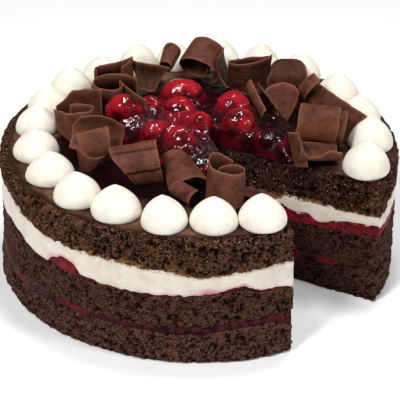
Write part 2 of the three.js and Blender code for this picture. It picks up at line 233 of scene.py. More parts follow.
def new_object(
    name: str,
    points: np.ndarray,
    faces: list,
    material: bpy.types.Material,
    rounded: bool = True,
    marks: dict[str, np.ndarray] | None = None,
) -> bpy.types.Object:
    """Makes a mesh object in metres from points in millimetres.

    Args:
        name: the piece's name.
        points: corners, one row each.
        faces: corner numbers of each face.
        material: the finish of the whole piece.
        rounded: True for smooth shading.
        marks: numbers kept on the corners for the finish to read.

    Returns:
        The new object, linked to the scene.
    """
    mesh = bpy.data.meshes.new(name)
    mesh.from_pydata((np.asarray(points, float) * MM).tolist(), [], faces)
    mesh.materials.append(material)
    mesh.polygons.foreach_set("use_smooth", [rounded] * len(mesh.polygons))
    for mark, values in (marks or {}).items():
        values = np.asarray(values, np.float32)
        kind = "FLOAT" if values.ndim == 1 else "FLOAT_VECTOR"
        layer = mesh.attributes.new(mark, kind, "POINT")
        layer.data.foreach_set("value" if values.ndim == 1 else "vector", values.ravel())
    mesh.update()
    piece = bpy.data.objects.new(name, mesh)
    bpy.context.scene.collection.objects.link(piece)
    return piece


def place(piece: bpy.types.Object, slot: str, *nodes: str) -> bpy.types.Object:
    """Fixes a finished piece to the cake in place of its CAD nodes, and reports it.

    Args:
        piece: the finished piece.
        slot: the slot of the look that it belongs to; not used.
        nodes: the CAD nodes that it stands for.

    Returns:
        The same piece.
    """
    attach(piece, BODY)
    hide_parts(*nodes)
    LOG.info("%s: %d faces for %s", piece.name, len(piece.data.polygons), ", ".join(nodes))
    return piece


def quads(grid: np.ndarray) -> np.ndarray:
    """Four-cornered faces of a grid of corner numbers."""
    ring = [grid[:-1, :-1], grid[1:, :-1], grid[1:, 1:], grid[:-1, 1:]]
    return np.stack(ring, axis=-1).reshape(-1, 4)


def flipped(faces: np.ndarray) -> np.ndarray:
    """The same four-cornered faces seen from the other side, with the same first corner."""
    return faces[:, [0, 3, 2, 1]]


def tube(sides: int, rows: int) -> np.ndarray:
    """Corner numbers of a closed tube, its first side repeated at the end."""
    grid = np.arange(sides * rows).reshape(sides, rows)
    return np.vstack([grid, grid[:1]])


def slab_faces(rows: int, columns: int) -> list:
    """Faces of a closed slab made of an upper and a lower grid of corners.

    Args:
        rows: corners along the grid's first axis.
        columns: corners along its second axis.

    Returns:
        Faces of the upper grid, the lower grid (numbered after it) and the four edges.
    """
    upper = np.arange(rows * columns).reshape(rows, columns)
    lower = upper + rows * columns
    edges = [
        np.stack([lower[:, 0], upper[:, 0]], axis=1),
        np.stack([upper[:, -1], lower[:, -1]], axis=1),
        np.stack([upper[0], lower[0]], axis=1),
        np.stack([lower[-1], upper[-1]], axis=1),
    ]
    parts = [quads(upper), quads(lower)[:, ::-1]] + [quads(edge) for edge in edges]
    return np.concatenate(parts).tolist()


# ------------------------------------------------------------------ finishes


class Shade:
    """Lays and joins the shader nodes of one finish."""

    def __init__(self, name: str) -> None:
        """Starts a material with its shader and output.

        Args:
            name: the material's name.
        """
        self.material = bpy.data.materials.new(name)
        self.material.use_nodes = True
        self.tree = self.material.node_tree
        self.tree.nodes.clear()
        self.skin = self.tree.nodes.new("ShaderNodeBsdfPrincipled")
        output = self.tree.nodes.new("ShaderNodeOutputMaterial")
        self.tree.links.new(self.skin.outputs[0], output.inputs["Surface"])
        place_of = self.tree.nodes.new("ShaderNodeTexCoord")
        self.place = place_of.outputs["Object"]

    def join(self, source: Source, socket: bpy.types.NodeSocket) -> None:
        """Feeds a socket from another socket, or sets it to a value.

        Args:
            source: the other socket or the value.
            socket: the socket that is fed.
        """
        if isinstance(source, bpy.types.NodeSocket):
            self.tree.links.new(source, socket)
        else:
            socket.default_value = source

    def add(
        self, kind: str, inputs: dict, output: int | str = 0, **settings: str
    ) -> bpy.types.NodeSocket:
        """Adds a node.

        Args:
            kind: Blender's name of the node.
            inputs: what feeds its inputs, by name or number.
            output: which output is wanted.
            settings: the node's own properties.

        Returns:
            The wanted output socket.
        """
        node = self.tree.nodes.new(kind)
        for key, value in settings.items():
            setattr(node, key, value)
        for key, value in inputs.items():
            self.join(value, node.inputs[key])
        return node.outputs[output]

    def mark(self, name: str, vector: bool = False) -> bpy.types.NodeSocket:
        """A number, or a vector, kept on the mesh's corners."""
        output = "Vector" if vector else "Fac"
        return self.add("ShaderNodeAttribute", {}, output, attribute_name=name)

    def stretched(self, source: Source, scale: tuple) -> bpy.types.NodeSocket:
        """Coordinates scaled along each axis."""
        return self.add("ShaderNodeMapping", {"Vector": source, "Scale": scale})

    def noise(
        self, size: float, detail: float = 2.0, rough: float = 0.5, source: Source | None = None
    ) -> bpy.types.NodeSocket:
        """Noise from 0 to 1.

        Args:
            size: about how long its waves are, in millimetres.
            detail: how many times finer noise is added.
            rough: how strong the finer noise is.
            source: coordinates in millimetres, when not the place on the object.

        Returns:
            The noise.
        """
        inputs = {
            "Vector": self.place if source is None else source,
            "Scale": 1.0 / (size * MM) if source is None else 1.0 / size,
            "Detail": detail,
            "Roughness": rough,
        }
        return self.add("ShaderNodeTexNoise", inputs)

    def warped(self, size: float, reach: float) -> bpy.types.NodeSocket:
        """Places on the object pushed about by noise.

        Args:
            size: about how long the noise's waves are, in millimetres.
            reach: how far it pushes, in millimetres.

        Returns:
            The pushed coordinates.
        """
        push = self.add("ShaderNodeTexNoise", {"Vector": self.place, "Scale": 1.0 / (size * MM)}, 1)
        centred = self.add("ShaderNodeVectorMath", {0: push, 1: (0.5,) * 3}, operation="SUBTRACT")
        scaled = {0: centred, 1: (2.0 * reach * MM,) * 3, 2: self.place}
        return self.add("ShaderNodeVectorMath", scaled, operation="MULTIPLY_ADD")

    def cells(self, size: float, source: Source | None = None) -> bpy.types.NodeSocket:
        """Distance to scattered points about size millimetres apart."""
        inputs = {"Vector": self.place if source is None else source, "Scale": 1.0 / (size * MM)}
        return self.add("ShaderNodeTexVoronoi", inputs)

    def step(
        self, source: Source, low: float, high: float, to_low: float = 0.0, to_high: float = 1.0
    ) -> bpy.types.NodeSocket:
        """Smooth step between two limits."""
        inputs = {0: source, 1: low, 2: high, 3: to_low, 4: to_high}
        return self.add("ShaderNodeMapRange", inputs, interpolation_type="SMOOTHSTEP")

    def reckon(self, kind: str, first: Source, second: Source) -> bpy.types.NodeSocket:
        """One operation of arithmetic on two numbers."""
        return self.add("ShaderNodeMath", {0: first, 1: second}, operation=kind)

    def times(self, first: Source, second: Source) -> bpy.types.NodeSocket:
        """Product of two numbers."""
        return self.reckon("MULTIPLY", first, second)

    def plus(self, first: Source, second: Source) -> bpy.types.NodeSocket:
        """Sum of two numbers."""
        return self.reckon("ADD", first, second)

    def larger(self, first: Source, second: Source) -> bpy.types.NodeSocket:
        """The larger of two numbers."""
        return self.reckon("MAXIMUM", first, second)

    def mix(self, share: Source, first: Source, second: Source) -> bpy.types.NodeSocket:
        """Mix of two colours."""
        inputs = {"Factor": share, 6: paint(first), 7: paint(second)}
        return self.add("ShaderNodeMix", inputs, 2, data_type="RGBA")

    def bump(self, height: Source, distance: float) -> bpy.types.NodeSocket:
        """Relief of the surface, distance millimetres deep."""
        inputs = {"Height": height, "Distance": distance * MM, "Strength": 1.0}
        return self.add("ShaderNodeBump", inputs)

    def finish(self, **inputs: Source) -> bpy.types.Material:
        """Feeds the shader's own sockets.

        Args:
            inputs: what feeds each, by its name with _ for each space.

        Returns:
            The material.
        """
        for key, value in inputs.items():
            self.join(value, self.skin.inputs[key.replace("_", " ")])
        return self.material


def paint(colour: Source) -> Source:
    """A colour with full cover, or a socket as it is."""
    return (*colour, 1.0) if isinstance(colour, tuple) and len(colour) == 3 else colour


@dataclass(frozen=True)
class CrumbFinish:
    """Chocolate sponge: an open crumb with painted shade in its pores, painted wet glints and a tan edge.

    Fields: warmth, how much of it has the warm tint; glints, how many painted wet glints; gloss, its sheen.
    """

    name: str
    # dark is the colour of the painted shade in the pores and holes.
    dark: tuple = (0.0100, 0.0024, 0.0012)
    body: tuple = (0.074, 0.0275, 0.0180)
    light: tuple = (0.175, 0.082, 0.058)
    warm: tuple = (0.125, 0.045, 0.016)
    fringe: tuple = (0.40, 0.195, 0.085)
    toast: tuple = (0.155, 0.066, 0.034)
    soaked: tuple = (0.020, 0.0075, 0.0048)
    # glint is the colour of the painted highlights.
    glint: tuple = (0.74, 0.58, 0.50)
    warmth: float = 0.25
    glints: float = 0.35
    gloss: float = 0.08

    def material(self) -> bpy.types.Material:
        """Builds the crumb's material.

        Returns:
            The new material.
        """
        shade = Shade(self.name)
        fine = shade.noise(0.9, 3.0, 0.75)
        patch = shade.noise(13.0, 2.0)
        here = shade.noise(3.4, 2.0, 0.6)
        torn = shade.warped(2.2, 1.3)
        pores = shade.step(shade.plus(shade.cells(2.2, torn), here), 0.7, 0.9)
        small = shade.step(shade.cells(1.0, torn), 0.2, 0.45)
        open_crumb = shade.times(pores, shade.larger(small, 0.2))
        crumb = shade.mix(shade.step(fine, 0.44, 0.68), self.body, self.light)
        warm = shade.times(shade.step(patch, 0.48, 0.68), self.warmth)
        crumb = shade.mix(warm, crumb, self.warm)
        crumb = shade.mix(shade.times(shade.mark("toast"), 0.7), crumb, self.toast)
        soaked = shade.mark("soaked")
        crumb = shade.mix(shade.times(soaked, 0.62), crumb, self.soaked)
        crumb = shade.mix(shade.mark("fringe"), crumb, self.fringe)
        # Painted shade: the crumb turns dark in its pores and in the relief's deep holes, where shade falls.
        depth = shade.times(open_crumb, shade.mark("crumb"))
        colour = shade.mix(depth, self.dark, crumb)
        # Painted highlights: scattered bright specks stand in for glints on the wet crumb.
        painted_glint = shade.step(shade.cells(1.7), 0.26, 0.12)
        spread = shade.plus(shade.noise(4.0, 3.0, 0.7), shade.times(soaked, 0.06))
        lit = shade.step(spread, 0.68 - 0.12 * self.glints, 0.73 - 0.12 * self.glints)
        painted_glint = shade.times(painted_glint, lit)
        colour = shade.mix(shade.times(painted_glint, 0.85), colour, self.glint)
        relief = shade.plus(shade.times(open_crumb, 0.6), fine)
        wet = shade.step(shade.noise(1.3, 2.0), 0.55, 0.66)
        rough = shade.step(shade.times(wet, shade.mark("moist")), 0.0, 0.6, 0.8, 0.2)
        return shade.finish(
            Base_Color=colour,
            Roughness=rough,
            Specular_IOR_Level=self.gloss,
            Normal=shade.bump(relief, 0.9),
        )


@dataclass(frozen=True)
class JamFinish:
    """Cherry filling: wet, crimson where it is thick, nearly black where it soaks the crumb."""

    name: str
    deep: tuple = (0.016, 0.0022, 0.0036)
    # The lighter tone is partly the filling's own colour and partly painted sheen.
    tone_and_sheen: tuple = (0.062, 0.0095, 0.0145)
    bright: tuple = (0.23, 0.0095, 0.018)
    crumb: tuple = (0.060, 0.0225, 0.0150)

    def material(self) -> bpy.types.Material:
        """Builds the filling's material.

        Returns:
            The new material.
        """
        shade = Shade(self.name)
        blotch = shade.noise(5.0, 3.0, 0.6)
        # Random blotches of the lighter tone, partly painted sheen.
        colour = shade.mix(shade.step(blotch, 0.4, 0.62), self.deep, self.tone_and_sheen)
        clear = shade.step(shade.noise(3.2, 3.0, 0.65), 0.36, 0.62, 0.12, 1.0)
        colour = shade.mix(shade.times(shade.mark("bright"), clear), colour, self.bright)
        grain = shade.noise(1.3, 3.0, 0.6)
        crumbs = shade.times(shade.step(grain, 0.42, 0.6), shade.mark("soaked"))
        colour = shade.mix(crumbs, colour, self.crumb)
        rough = shade.step(shade.noise(1.6, 2.0), 0.42, 0.6, 0.25, 0.6)
        return shade.finish(
            Base_Color=colour,
            Roughness=rough,
            Specular_IOR_Level=0.06,
            Normal=shade.bump(grain, 0.8),
        )


@dataclass(frozen=True)
class CreamFinish:
    """Whipped cream: warm white, matt, with tiny bubbles; pink where cherry juice has soaked in."""

    name: str
    white: tuple = (0.885, 0.845, 0.75)
    shadow: tuple = (0.82, 0.75, 0.64)
    pink: tuple = (0.62, 0.17, 0.25)
    tan: tuple = (0.34, 0.17, 0.08)
    bubbles: float = 0.0

    def material(self) -> bpy.types.Material:
        """Builds the cream's material.

        Returns:
            The new material.
        """
        shade = Shade(self.name)
        colour = shade.mix(shade.step(shade.noise(7.0, 2.0), 0.35, 0.7), self.white, self.shadow)
        colour = shade.mix(shade.mark("stain"), colour, self.pink)
        crumbs = shade.step(shade.noise(0.9, 2.0, 0.6), 0.5, 0.6)
        crumbs = shade.times(crumbs, shade.mark("crumbed"))
        colour = shade.mix(crumbs, colour, self.tan)
        fine = shade.noise(1.2, 3.0, 0.6)
        if self.bubbles:
            holes = shade.step(shade.cells(2.2), 0.06, 0.2, 1.0 - self.bubbles, 1.0)
            fine = shade.times(fine, holes)
        return shade.finish(
            Base_Color=colour,
            Roughness=0.55,
            Specular_IOR_Level=0.35,
            Subsurface_Weight=0.35,
            Subsurface_Radius=(1.0, 0.8, 0.6),
            Subsurface_Scale=2.5 * MM,
            Normal=shade.bump(fine, 0.12 + 0.5 * self.bubbles),
        )


@dataclass(frozen=True)
class GlazeFinish:
    """Thin chocolate glaze: dark and satin, lighter in pools that are partly painted sheen, and darker
    in an inner ring that is partly painted shade.
    """

    name: str
    dark: tuple = (0.036, 0.0140, 0.0085)
    # light is the lighter pool tone, partly painted sheen.
    light: tuple = (0.148, 0.070, 0.045)
    # syrup is the dark inner ring's colour: partly syrup stain, partly painted shade under the curls.
    syrup: tuple = (0.0085, 0.0016, 0.0016)

    def material(self) -> bpy.types.Material:
        """Builds the glaze's material.

        Returns:
            The new material.
        """
        shade = Shade(self.name)
        # Lighter pools: partly the glaze's own tone, partly painted sheen.
        pool_and_sheen = shade.noise(16.0, 3.0, 0.55)
        colour = shade.mix(shade.step(pool_and_sheen, 0.38, 0.66), self.dark, self.light)
        colour = shade.mix(shade.mark("rim"), colour, self.dark)
        # Darker inner ring: partly syrup stain, partly painted shade under the curls.
        colour = shade.mix(shade.mark("syrup"), colour, self.syrup)
        rough = shade.step(shade.noise(9.0, 2.0), 0.38, 0.64, 0.22, 0.45)
        rough = shade.times(rough, shade.step(shade.mark("rim"), 0.0, 1.0, 1.0, 0.4))
        rough = shade.times(rough, shade.step(shade.mark("syrup"), 0.0, 1.0, 1.0, 0.25))
        ripple = shade.noise(6.0, 3.0, 0.5)
        return shade.finish(
            Base_Color=colour,
            Roughness=rough,
            Specular_IOR_Level=0.06,
            Normal=shade.bump(ripple, 0.4),
        )


@dataclass(frozen=True)
class CherryFinish:
    """Preserved cherry under syrup: deep red, wet, its shine broken up by the syrup's ripples."""

    name: str
    red: tuple = (0.38, 0.0055, 0.015)
    deep: tuple = (0.042, 0.0007, 0.003)
    # milky is the colour of the painted reflection haze.
    painted_haze_tint: tuple = (0.38, 0.055, 0.075)

    def material(self) -> bpy.types.Material:
        """Builds the cherry's material.

        Returns:
            The new material.
        """
        shade = Shade(self.name)
        cloudy = shade.step(shade.noise(11.0, 2.5, 0.5), 0.32, 0.6)
        # Redder towards the top and darker towards the bottom, varied by noise.
        thin = shade.times(cloudy, shade.mark("redder_top"))
        colour = shade.mix(thin, self.deep, self.red)
        # Painted reflection haze: pale streaks over the cherry's red.
        painted_haze = shade.step(shade.noise(2.6, 3.0, 0.7), 0.54, 0.78, 0.0, 0.3)
        colour = shade.mix(painted_haze, colour, self.painted_haze_tint)
        skin = shade.noise(3.6, 2.0, 0.5)
        syrup = shade.bump(shade.noise(4.2, 1.5, 0.45), 1.1)
        return shade.finish(
            Base_Color=colour,
            Roughness=0.6,
            Specular_IOR_Level=0.03,
            Subsurface_Weight=0.2,
            Subsurface_Radius=(1.0, 0.1, 0.08),
            Subsurface_Scale=3.0 * MM,
            Coat_Weight=1.0,
            Coat_Roughness=0.02,
            Coat_IOR=1.45,
            Coat_Normal=syrup,
            Normal=shade.bump(skin, 0.5),
        )


@dataclass(frozen=True)
class GelFinish:
    """Dark cherry gel: nearly black in the mass, red where it is thin, with streaks of painted reflection
    haze.
    """

    name: str
    deep: tuple = (0.0065, 0.0004, 0.0014)
    thin: tuple = (0.225, 0.0035, 0.015)
    # cloud is the colour of the painted reflection haze.
    cloud: tuple = (0.11, 0.045, 0.055)

    def material(self) -> bpy.types.Material:
        """Builds the gel's material.

        Returns:
            The new material.
        """
        shade = Shade(self.name)
        streak = shade.noise(5.0, 3.0, 0.6)
        share = shade.larger(shade.step(streak, 0.56, 0.76, 0.0, 0.5), shade.mark("thin"))
        colour = shade.mix(share, self.deep, self.thin)
        patchy = shade.step(shade.noise(2.4, 3.0, 0.65), 0.4, 0.7)
        # Painted reflection haze in the spots that the mesh marks.
        painted_haze = shade.times(patchy, shade.mark("cloud"))
        return shade.finish(
            Base_Color=shade.mix(painted_haze, colour, self.cloud),
            Roughness=0.6,
            Specular_IOR_Level=0.02,
            Coat_Weight=shade.mark("wet"),
            Coat_Roughness=0.02,
            Coat_IOR=1.45,
            Coat_Normal=shade.bump(shade.noise(4.0, 2.0, 0.45), 1.3),
            Normal=shade.bump(streak, 0.3),
        )


@dataclass(frozen=True)
class CurlFinish:
    """Shaved chocolate: satin, streaked along the shaving, paler at its broken edges; painted shade
    darkens its hollows and shadowed faces, and a painted glow marks where it is thin.
    """

    name: str
    dark: tuple = (0.060, 0.0178, 0.0100)
    body: tuple = (0.130, 0.044, 0.0265)
    edge: tuple = (0.27, 0.105, 0.058)
    # deep is the colour of the painted shade.
    deep: tuple = (0.010, 0.0030, 0.0020)
    # warm is the colour of the painted glow of light through thin chocolate.
    warm: tuple = (0.20, 0.068, 0.020)
    dust: tuple = (0.36, 0.19, 0.10)

    def material(self) -> bpy.types.Material:
        """Builds the curl's material.

        Returns:
            The new material.
        """
        shade = Shade(self.name)
        strip = shade.mark("strip", vector=True)
        streak = shade.noise(1.0, 3.0, 0.6, shade.stretched(strip, (0.05, 0.7, 1.0)))
        cloud = shade.noise(7.0, 4.0, 0.65)
        colour = shade.mix(shade.step(cloud, 0.3, 0.62), self.dark, self.body)
        colour = shade.mix(shade.step(streak, 0.4, 0.8, 0.0, 0.3), colour, self.dark)
        # Painted glow: warm patches where light would come through thin chocolate.
        colour = shade.mix(shade.mark("warm"), colour, self.warm)
        dots = shade.step(shade.noise(0.9, 1.0), 0.6, 0.68)
        few = shade.step(shade.cells(2.6), 0.13, 0.06, 0.0, 0.45)
        dust = shade.larger(few, shade.times(dots, shade.mark("bloom")))
        colour = shade.mix(dust, colour, self.dust)
        fine = shade.noise(1.0, 3.0, 0.65, shade.stretched(strip, (0.12, 1.1, 1.0)))
        # Painted shade: whole faces of some strips are darkened, broken up by fine streaks.
        painted_face_shade = shade.times(shade.mark("painted_face_shade"), shade.step(fine, 0.66, 0.40, 0.35, 1.0))
        colour = shade.mix(painted_face_shade, colour, self.deep)
        # Painted shade inside tight rolls and at the foot of each step.
        colour = shade.mix(shade.mark("painted_inner_shade"), colour, self.deep)
        colour = shade.mix(shade.mark("edge"), colour, self.edge)
        grain = shade.noise(0.8, 2.0, 0.6)
        relief = shade.plus(streak, shade.times(grain, 0.6))
        rough = shade.step(cloud, 0.3, 0.7, 0.4, 0.58)
        return shade.finish(
            Base_Color=colour,
            Roughness=rough,
            Specular_IOR_Level=0.08,
            Normal=shade.bump(relief, 0.25),
        )


# ------------------------------------------------------------------ layers


@dataclass(frozen=True)
class Meeting:
    """The surface where two layers meet.

    Fields: its height on the axis, its height at mid radius, knots (phi, height) of the wavy line
    that it draws round the side, knots (radius, height) of its ripple at the far cut face, how
    ragged its outer edge is, and the seed of that. Both layers that meet share the raggedness.
    """

    axis: float
    middle: float
    rim: tuple
    cut: tuple = ((0.0, 0.0),)
    ragged: float = 0.7
    seed: int = 200

    MIDDLE_RADIUS = 75.0
    RISE_FROM = 62.0
    CUT_REACH = 20.0
    FRAY_SIZE = 3.6
    FRAY_REACH = 1.2

    def line(self, phi: Numbers) -> np.ndarray:
        """Height of the line on the side.

        Args:
            phi: angles of the places.

        Returns:
            One height for each angle.
        """
        knots = np.array(self.rim)
        phi = np.asarray(phi, float)
        after = np.clip(np.searchsorted(knots[:, 0], phi), 1, len(knots) - 1)
        start, end = knots[after - 1], knots[after]
        share = np.clip((phi - start[..., 0]) / (end[..., 0] - start[..., 0]), 0.0, 1.0)
        share = share * share * (3.0 - 2.0 * share)
        return lerp(start[..., 1], end[..., 1], share)

    def height(self, phi: Numbers, radius: Numbers) -> np.ndarray:
        """Height of the surface.

        Args:
            phi: angles of the places.
            radius: their distances from the axis.

        Returns:
            One height for each place.
        """
        inner = lerp(self.axis, self.middle, np.minimum(1.0, radius / self.MIDDLE_RADIUS))
        plain = lerp(inner, self.line(phi), smooth(radius, self.RISE_FROM, CAKE_RADIUS))
        places, ripple = np.array(self.cut, float).T
        near_cut = bell(np.asarray(phi, float) - SLICE_TO, self.CUT_REACH)
        return plain + np.interp(radius, places, ripple) * near_cut

    def fray(self, points: np.ndarray, away: np.ndarray) -> np.ndarray:
        """How far points at given distances from the surface are moved up by its raggedness."""
        wave = Grain(self.seed).layered(points, self.FRAY_SIZE, 3) * self.ragged
        return wave * bell(away, self.FRAY_REACH)


LOWER_JAM_BOTTOM = Meeting(17.5, 16.0, (
    (61, 19), (120, 18), (200, 19), (270, 17), (302, 14.5), (315, 18.8), (338, 19), (349, 18.3),
    (361, 18), (365, 20), (370, 20.4), (376, 20.8), (380, 21.4), (386, 17.6)), ragged=0.9, seed=201)
LOWER_JAM_TOP = Meeting(20.5, 18.6, (
    (61, 22.5), (120, 22), (200, 22.5), (270, 21.5), (302, 19.6), (315, 22.3), (328, 22.3),
    (338, 21.6), (349, 21.2), (360, 22.3), (365, 23.2), (370, 24.3), (376, 25.3), (380, 25.3),
    (386, 22.9)), ragged=0.9, seed=202)
UPPER_JAM_BOTTOM = Meeting(38.5, 38.3, (
    (61, 42), (80, 41), (110, 41.5), (230, 41.5), (270, 40), (288, 44), (296, 47), (301, 44),
    (307, 41.3), (313, 41.2), (317, 41), (320, 40.6), (323, 41), (327, 41.8), (336, 41.4),
    (343, 39.6), (350, 40.5), (359, 41.2), (362, 42.2), (365.3, 42.1), (369, 42.9), (373, 43.1),
    (377, 41.2), (386, 40)),
    cut=((55, 0), (62, -2), (66, 0), (72, 0), (78, -0.9), (85, -1.6), (93, -0.5), (98, -1.3),
         (103, -0.7), (110, 0)), ragged=0.9, seed=203)
CREAM_BOTTOM = Meeting(44.5, 42.4, (
    (61, 47.4), (66, 46.4), (73, 47.5), (85, 45.5), (110, 43.5), (230, 43), (270, 42), (288, 46),
    (296, 48.5), (301, 45), (307, 42.3), (313, 42.4), (317, 47.5), (320, 49.5), (323, 49), (327, 43),
    (336, 42.5), (343, 40.6), (350, 41.5), (359, 42.3), (362, 43.4), (365.3, 43.2), (368.3, 45.5),
    (372, 46.9), (374, 45.2), (375.6, 42.9), (380, 42.4), (386, 41.2)),
    cut=((40, 0), (52, 3), (56, 0.9), (61, 0.8), (68, 1.7), (71, -1), (74, -2.6), (79, -2.3),
         (84, -0.6), (89, 0)), ragged=0.65, seed=204)
CREAM_TOP = Meeting(54.0, 51.8, (
    (61, 52.6), (65, 53.2), (69, 57.5), (90, 57), (130, 57), (230, 57), (265, 62), (278, 65.5),
    (290, 63.5), (304, 59), (316, 56.5), (334, 57), (348, 55.4), (361, 52.2), (375, 54.8),
    (386, 56.5)),
    cut=((51, -3.2), (53, -0.4), (60, 0), (64, -0.9), (70, 0), (80, 0), (88, -0.9), (96, 0),
         (104, 0.4), (110, 0)), ragged=0.7, seed=205)


def side_radius(phi: Numbers, z: Numbers) -> np.ndarray:
    """Radius of the cake's side, which swells low on its left.

    Args:
        phi: angles of the places.
        z: their heights.

    Returns:
        One radius for each place.
    """
    spread, spread_height, left = 2.4, 34.0, 272.0
    lean = np.maximum(0.0, np.cos(np.radians(np.asarray(phi, float) - left)))
    return CAKE_RADIUS + spread * lean**3 * falling(z, 0.0, spread_height)


@dataclass
class Corners:
    """Hands out corner numbers in order, and keeps the hidden corners of a layer."""

    used: int = 0
    hidden: list = field(default_factory=list)

    def take(self, rows: int, columns: int) -> np.ndarray:
        """The next numbers, as a grid."""
        self.used += rows * columns
        return np.arange(self.used - rows * columns, self.used).reshape(rows, columns)

    def hide(self, points: np.ndarray) -> np.ndarray:
        """Keeps a row of hidden corners and gives their numbers."""
        self.hidden.append(points)
        return self.take(1, len(points))[0]


@dataclass
class WedgeLayer:
    """A layer with the slice missing: fine side and cut faces, and plain hidden faces.

    Fields: name and node, of the piece and of the CAD solid that it replaces; pitch and row_pitch,
    how far apart the side's corners are along it and up it; rings, radii of the hidden faces' rings;
    inset, how far the side stands back; lower and upper, where it meets its neighbours; wall_wave,
    how deep the slow waves of its faces are. BANK is how many rows of fine hidden faces lie along
    each cut, so that a hidden face of many corners never touches the frayed edge.
    """

    name: str
    node: str
    slot: str
    finish: bpy.types.Material
    pitch: float = 0.66
    row_pitch: float = 0.56
    rings: tuple = (75.0, 102.0)
    inset: float = 0.0
    seed: int = 1
    rounded: bool = False
    lower: Meeting | None = None
    upper: Meeting | None = None
    wall_wave: float = 0.45

    BANK = 8
    LEAST_ROWS = 6
    THINNEST = 1e-6
    TOUR = np.arange(62.0, 386.0, 4.0)

    def floor(self, phi: Numbers, radius: Numbers) -> np.ndarray:
        """Height of the underside."""
        raise NotImplementedError

    def roof(self, phi: Numbers, radius: Numbers) -> np.ndarray:
        """Height of the upper side."""
        raise NotImplementedError

    def skirt(self, phi: np.ndarray, share: np.ndarray) -> tuple:
        """The side's own outline.

        Args:
            phi: a column of angles.
            share: a row of shares of the side's height.

        Returns:
            Radius and height of each corner.
        """
        low = self.floor(phi, CAKE_RADIUS)
        high = self.roof(phi, CAKE_RADIUS)
        z = lerp(low, high, share)
        return side_radius(phi, z) - self.inset, z

    def relief(self, points: np.ndarray) -> tuple:
        """Displacement outward and the numbers that the finish reads."""
        raise NotImplementedError

    def distances(self, points: np.ndarray) -> tuple:
        """How far points are from the layer's hidden faces.

        Args:
            points: corners of the side or of a cut face.

        Returns:
            Heights above the underside, and depths below the upper side.
        """
        radius, phi = bearings(points)
        radius = np.minimum(radius, CAKE_RADIUS)
        return points[:, 2] - self.floor(phi, radius), self.roof(phi, radius) - points[:, 2]

    def fray(self, points: np.ndarray) -> np.ndarray:
        """How far points are moved up by the raggedness of the edge that they are near.

        Args:
            points: corners of the side or of a cut face.

        Returns:
            One distance for each point.
        """
        below, above = self.distances(points)
        shift = np.zeros(len(points))
        for surface, away in ((self.lower, below), (self.upper, above)):
            if surface is not None:
                shift = shift + surface.fray(points, away)
        return shift

    def rows(self) -> int:
        """How many corners the side has from its lower to its upper edge."""
        span = np.max(self.roof(self.TOUR, CAKE_RADIUS) - self.floor(self.TOUR, CAKE_RADIUS))
        return max(self.LEAST_ROWS, int(math.ceil(span / self.row_pitch)) + 1)

    def cut_face(self, phi: float, radius: np.ndarray, z: np.ndarray, spokes: int) -> np.ndarray:
        """Corners of a cut face.

        Args:
            phi: its angle.
            radius: radius of each corner of the side at the cut.
            z: height of each of them.
            spokes: corners from the axis to the side.

        Returns:
            Grid of corners, from the axis outward and from the underside up.
        """
        reach = np.linspace(0.0, 1.0, spokes)[:, None] * radius[None, :]
        low, high = self.floor(phi, radius), self.roof(phi, radius)
        level = np.clip((z - low) / np.maximum(high - low, self.THINNEST), 0.0, 1.0)
        return polar(phi, reach, lerp(self.floor(phi, reach), self.roof(phi, reach), level[None, :]))

    def build(self) -> bpy.types.Object:
        """Makes the layer's closed mesh and puts it in place of its node.

        Returns:
            The finished piece.
        """
        columns = int(math.radians(TURN_END - SLICE_TO) * CAKE_RADIUS / self.pitch)
        rows = self.rows()
        spokes = int(CAKE_RADIUS / self.pitch)
        phi = np.linspace(SLICE_TO, TURN_END, columns)
        radius, z = self.skirt(phi[:, None], np.linspace(0.0, 1.0, rows)[None, :])
        side = polar(phi[:, None], radius, z)
        first_cut, last_cut = (self.cut_face(phi[at], radius[at], z[at], spokes) for at in (0, -1))
        from_first, from_last = -onward(phi[0]), onward(phi[-1])
        push = outward(phi)[:, None, :] + np.zeros_like(side)
        push[0] += from_first
        push[-1] += from_last
        parts = (
            (side, push),
            (first_cut[1:-1], from_first),
            (last_cut[1:-1], from_last),
            (first_cut[0], outward(SLICE_MIDDLE)),
        )
        fine = np.concatenate([grid.reshape(-1, 3) for grid, _ in parts])
        way = np.concatenate([(np.zeros_like(grid) + toward).reshape(-1, 3) for grid, toward in parts])
        way /= np.linalg.norm(way, axis=1, keepdims=True)
        out, numbers = self.relief(fine)
        moved = fine + way * out[:, None]
        moved[:, 2] += self.fray(fine)
        hidden, faces = self.faces(columns, rows, spokes, phi, radius)
        points = np.concatenate([moved, hidden])
        marks = {mark: np.append(values, np.zeros(len(hidden))) for mark, values in numbers.items()}
        piece = new_object(self.name, points, faces, self.finish, self.rounded, marks)
        return place(piece, self.slot, self.node)

    def faces(self, columns: int, rows: int, spokes: int, phi: np.ndarray, radius: np.ndarray) -> tuple:
        """Corners of the hidden faces, and all faces of the layer.

        Args:
            columns: corners round the side.
            rows: corners up the side.
            spokes: corners from the axis to the side on a cut face.
            phi: angle of each column.
            radius: radius of each corner of the side.

        Returns:
            The hidden corners, and the faces as lists of corner numbers.
        """
        corners = Corners()
        side = corners.take(columns, rows)
        inner = [corners.take(spokes - 2, rows) for _ in range(2)]
        axis = corners.take(1, rows)
        cuts = [np.vstack([axis, inner[0], side[:1]]), np.vstack([axis, inner[1], side[-1:]])]
        faces = quads(side).tolist() + quads(cuts[0]).tolist() + quads(cuts[1])[:, ::-1].tolist()
        for row, surface, up in ((rows - 1, self.roof, True), (0, self.floor, False)):
            lines = [cut[:, row] for cut in cuts]
            for face in self.lid(corners, side[:, row], lines, phi, radius[:, row], surface):
                numbers = [int(number) for number in face]
                faces.append(numbers if up else numbers[::-1])
        return np.concatenate(corners.hidden), faces

